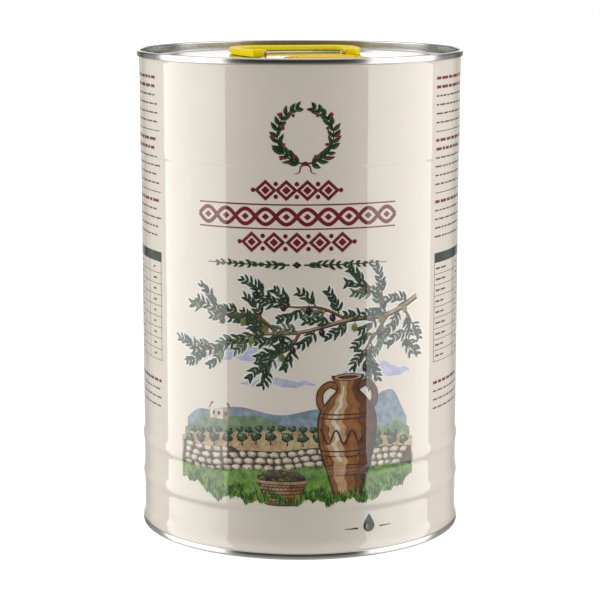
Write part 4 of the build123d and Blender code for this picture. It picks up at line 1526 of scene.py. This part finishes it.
def area_light(name, size, power, place, turn=(0, 0, 0)):
    """A rectangular light of a width and a depth, which the camera doesn't see itself."""
    light = bpy.data.lights.new(name, "AREA")
    light.shape = "RECTANGLE"
    light.size, light.size_y = size
    light.energy = power
    lamp = bpy.data.objects.new(name, light)
    bpy.context.scene.collection.objects.link(lamp)
    lamp.location, lamp.rotation_euler = place, turn
    lamp.visible_camera = False


def softbox(name, bearing, half_angle, distance, radiance):
    """An upright light that the tin sees over a given angle, at a bearing from the camera's side.

    It is two panels, one above the other, and the lower one is dimmer.
    """
    width = 2 * distance * math.tan(math.radians(half_angle))
    turn = math.radians(bearing)
    for part, foot, top, share in (("upper", BOX_STEP, BOX_TOP, 1.0), ("lower", BOX_FOOT, BOX_STEP, BOX_DIM)):
        size = (width, top - foot)
        power = share * radiance * size[0] * size[1] * math.pi
        place = (-distance * math.sin(turn), -distance * math.cos(turn), (foot + top) / 2)
        area_light(name + "_" + part, size, power, place, turn=(math.radians(90), 0, -turn))


def studio_world():
    """White to the camera, a dim grey to matt surfaces, and a room of light and dark parts to shiny ones.

    A shiny surface sees the room by bearing, dark on the camera's side and lit behind the tin. Between
    the two it is lit below the horizon only, and above it the backdrop dims towards the ceiling.
    """
    world = bpy.data.worlds.new("studio_world")
    bpy.context.scene.world = world
    world.use_nodes = True
    nodes, links = world.node_tree.nodes, world.node_tree.links
    place, axes, sight = (nodes.new("ShaderNode" + kind) for kind in ("TexCoord", "SeparateXYZ", "LightPath"))
    links.new(place.outputs["Generated"], axes.inputs["Vector"])

    def spread(axis, stops):
        """A grey that follows one axis of the direction; a stop is a share of -1 to 1, and its grey."""
        share = nodes.new("ShaderNodeMath")
        share.operation = "MULTIPLY_ADD"
        share.inputs[1].default_value = 0.5
        share.inputs[2].default_value = 0.5
        ramp = nodes.new("ShaderNodeValToRGB")
        for element, (position, level) in zip(ramp.color_ramp.elements, (stops[0], stops[-1])):
            element.position, element.color = position, (level, level, level, 1)
        for position, level in stops[1:-1]:
            ramp.color_ramp.elements.new(position).color = (level, level, level, 1)
        links.new(axes.outputs[axis], share.inputs[0])
        links.new(share.outputs[0], ramp.inputs["Fac"])
        return ramp.outputs["Color"]

    def mixed(share, first, second):
        """The first colour, or the second where share is 1."""
        mix = nodes.new("ShaderNodeMix")
        mix.data_type = "RGBA"
        for socket, source in zip((mix.inputs[0], mix.inputs[6], mix.inputs[7]), (share, first, second)):
            links.new(source, socket)
        return mix.outputs[2]

    low = [(0.0, ROOM_FRONT), (0.62, ROOM_FRONT), (0.66, ROOM_LOW), (0.85, ROOM_LOW), (0.93, ROOM_SIDE)]
    low = spread("Y", low + [(0.975, BACKDROP_FOOT), (1.0, BACKDROP_FOOT)])
    high = [(0.0, ROOM_FRONT), (0.75, ROOM_SIDE), (0.93, ROOM_SIDE), (0.975, BACKDROP), (1.0, BACKDROP)]
    high = spread("Y", high)
    horizon = spread("Z", [(0.0, 0.0), (0.495, 0.0), (0.515, 1.0), (1.0, 1.0)])
    above = spread("Z", [(0.0, 0.0), (0.57, 0.0), (0.68, 1.0), (1.0, 1.0)])
    below = spread("Z", [(0.0, 1.0), (0.25, 1.0), (0.365, 0.3), (0.44, 0.0), (1.0, 0.0)])
    ceiling, ground = (spread("Z", [(0.0, level), (1.0, level)]) for level in (CEILING, GROUND))
    whole = spread("Z", [(0.0, 1.0), (1.0, 1.0)])
    fill = spread("Y", [(0.0, 1.25 * ROOM_FILL), (0.5, ROOM_FILL), (1.0, 0.2 * ROOM_FILL)])
    room = mixed(below, mixed(above, mixed(horizon, low, high), ceiling), ground)
    matt = mixed(sight.outputs["Is Diffuse Ray"], room, fill)
    links.new(mixed(sight.outputs["Is Camera Ray"], matt, whole), nodes["Background"].inputs["Color"])


def camera():
    """The camera stands in front of the tin, above its lid, and looks down at it.

    Its focal length is given in pixels of the square frame.
    """
    distance, height, pitch, focal_pixels, frame_pixels = 1.0765, 0.30945, 0.1775, 2078.9, 600
    data = bpy.data.cameras.new("camera")
    data.sensor_width = 36
    data.lens = focal_pixels * data.sensor_width / frame_pixels
    data.clip_start, data.clip_end = 0.05, 30
    eye = bpy.data.objects.new("camera", data)
    bpy.context.scene.collection.objects.link(eye)
    eye.location = (0, -distance, height)
    eye.rotation_euler = (math.pi / 2 - pitch, 0, 0)
    bpy.context.scene.camera = eye


# The panel


class OILTIN_PT_looks(bpy.types.Panel):
    """The tin's sizes, colours and pieces"""

    bl_idname = "OILTIN_PT_looks"
    bl_label = "Oil tin"
    bl_space_type = "VIEW_3D"
    bl_region_type = "UI"
    bl_category = "Oil Tin"

    def draw(self, context):
        """Shows every size and colour, and a button for each operator."""
        for group in (context.scene.oil_tin_sizes, context.scene.oil_tin_colours):
            for name in group.bl_rna.properties.keys():
                if name not in {"rna_type", "name"}:
                    self.layout.prop(group, name)
        for operator in STEPS:
            self.layout.operator(operator.bl_idname)


STEPS = (
    OILTIN_OT_wall,
    OILTIN_OT_ends,
    OILTIN_OT_handle,
    OILTIN_OT_spout,
    OILTIN_OT_hidden_parts,
    OILTIN_OT_wreath,
    OILTIN_OT_bands,
    OILTIN_OT_valley,
    OILTIN_OT_jar,
    OILTIN_OT_branch,
    OILTIN_OT_drop,
    OILTIN_OT_side_panels,
    OILTIN_OT_stage,
)
CLASSES = (OilTinSizes, OilTinColours, *STEPS, OILTIN_PT_looks)


def register():
    """Makes the classes and the scene's two groups of settings known."""
    for each in CLASSES:
        bpy.utils.register_class(each)
    bpy.types.Scene.oil_tin_sizes = bpy.props.PointerProperty(type=OilTinSizes)
    bpy.types.Scene.oil_tin_colours = bpy.props.PointerProperty(type=OilTinColours)


def unregister():
    """Takes back what register has done."""
    del bpy.types.Scene.oil_tin_colours
    del bpy.types.Scene.oil_tin_sizes
    for each in reversed(CLASSES):
        bpy.utils.unregister_class(each)


def main():
    register()
    bpy.ops.oiltin.wall()
    bpy.ops.oiltin.ends()
    bpy.ops.oiltin.handle()
    bpy.ops.oiltin.spout()
    bpy.ops.oiltin.hidden_parts()
    bpy.ops.oiltin.wreath()
    bpy.ops.oiltin.bands()
    bpy.ops.oiltin.valley()
    bpy.ops.oiltin.jar()
    bpy.ops.oiltin.branch()
    bpy.ops.oiltin.drop()
    bpy.ops.oiltin.side_panels()
    bpy.ops.oiltin.stage()


if __name__ == "__main__":
    main()
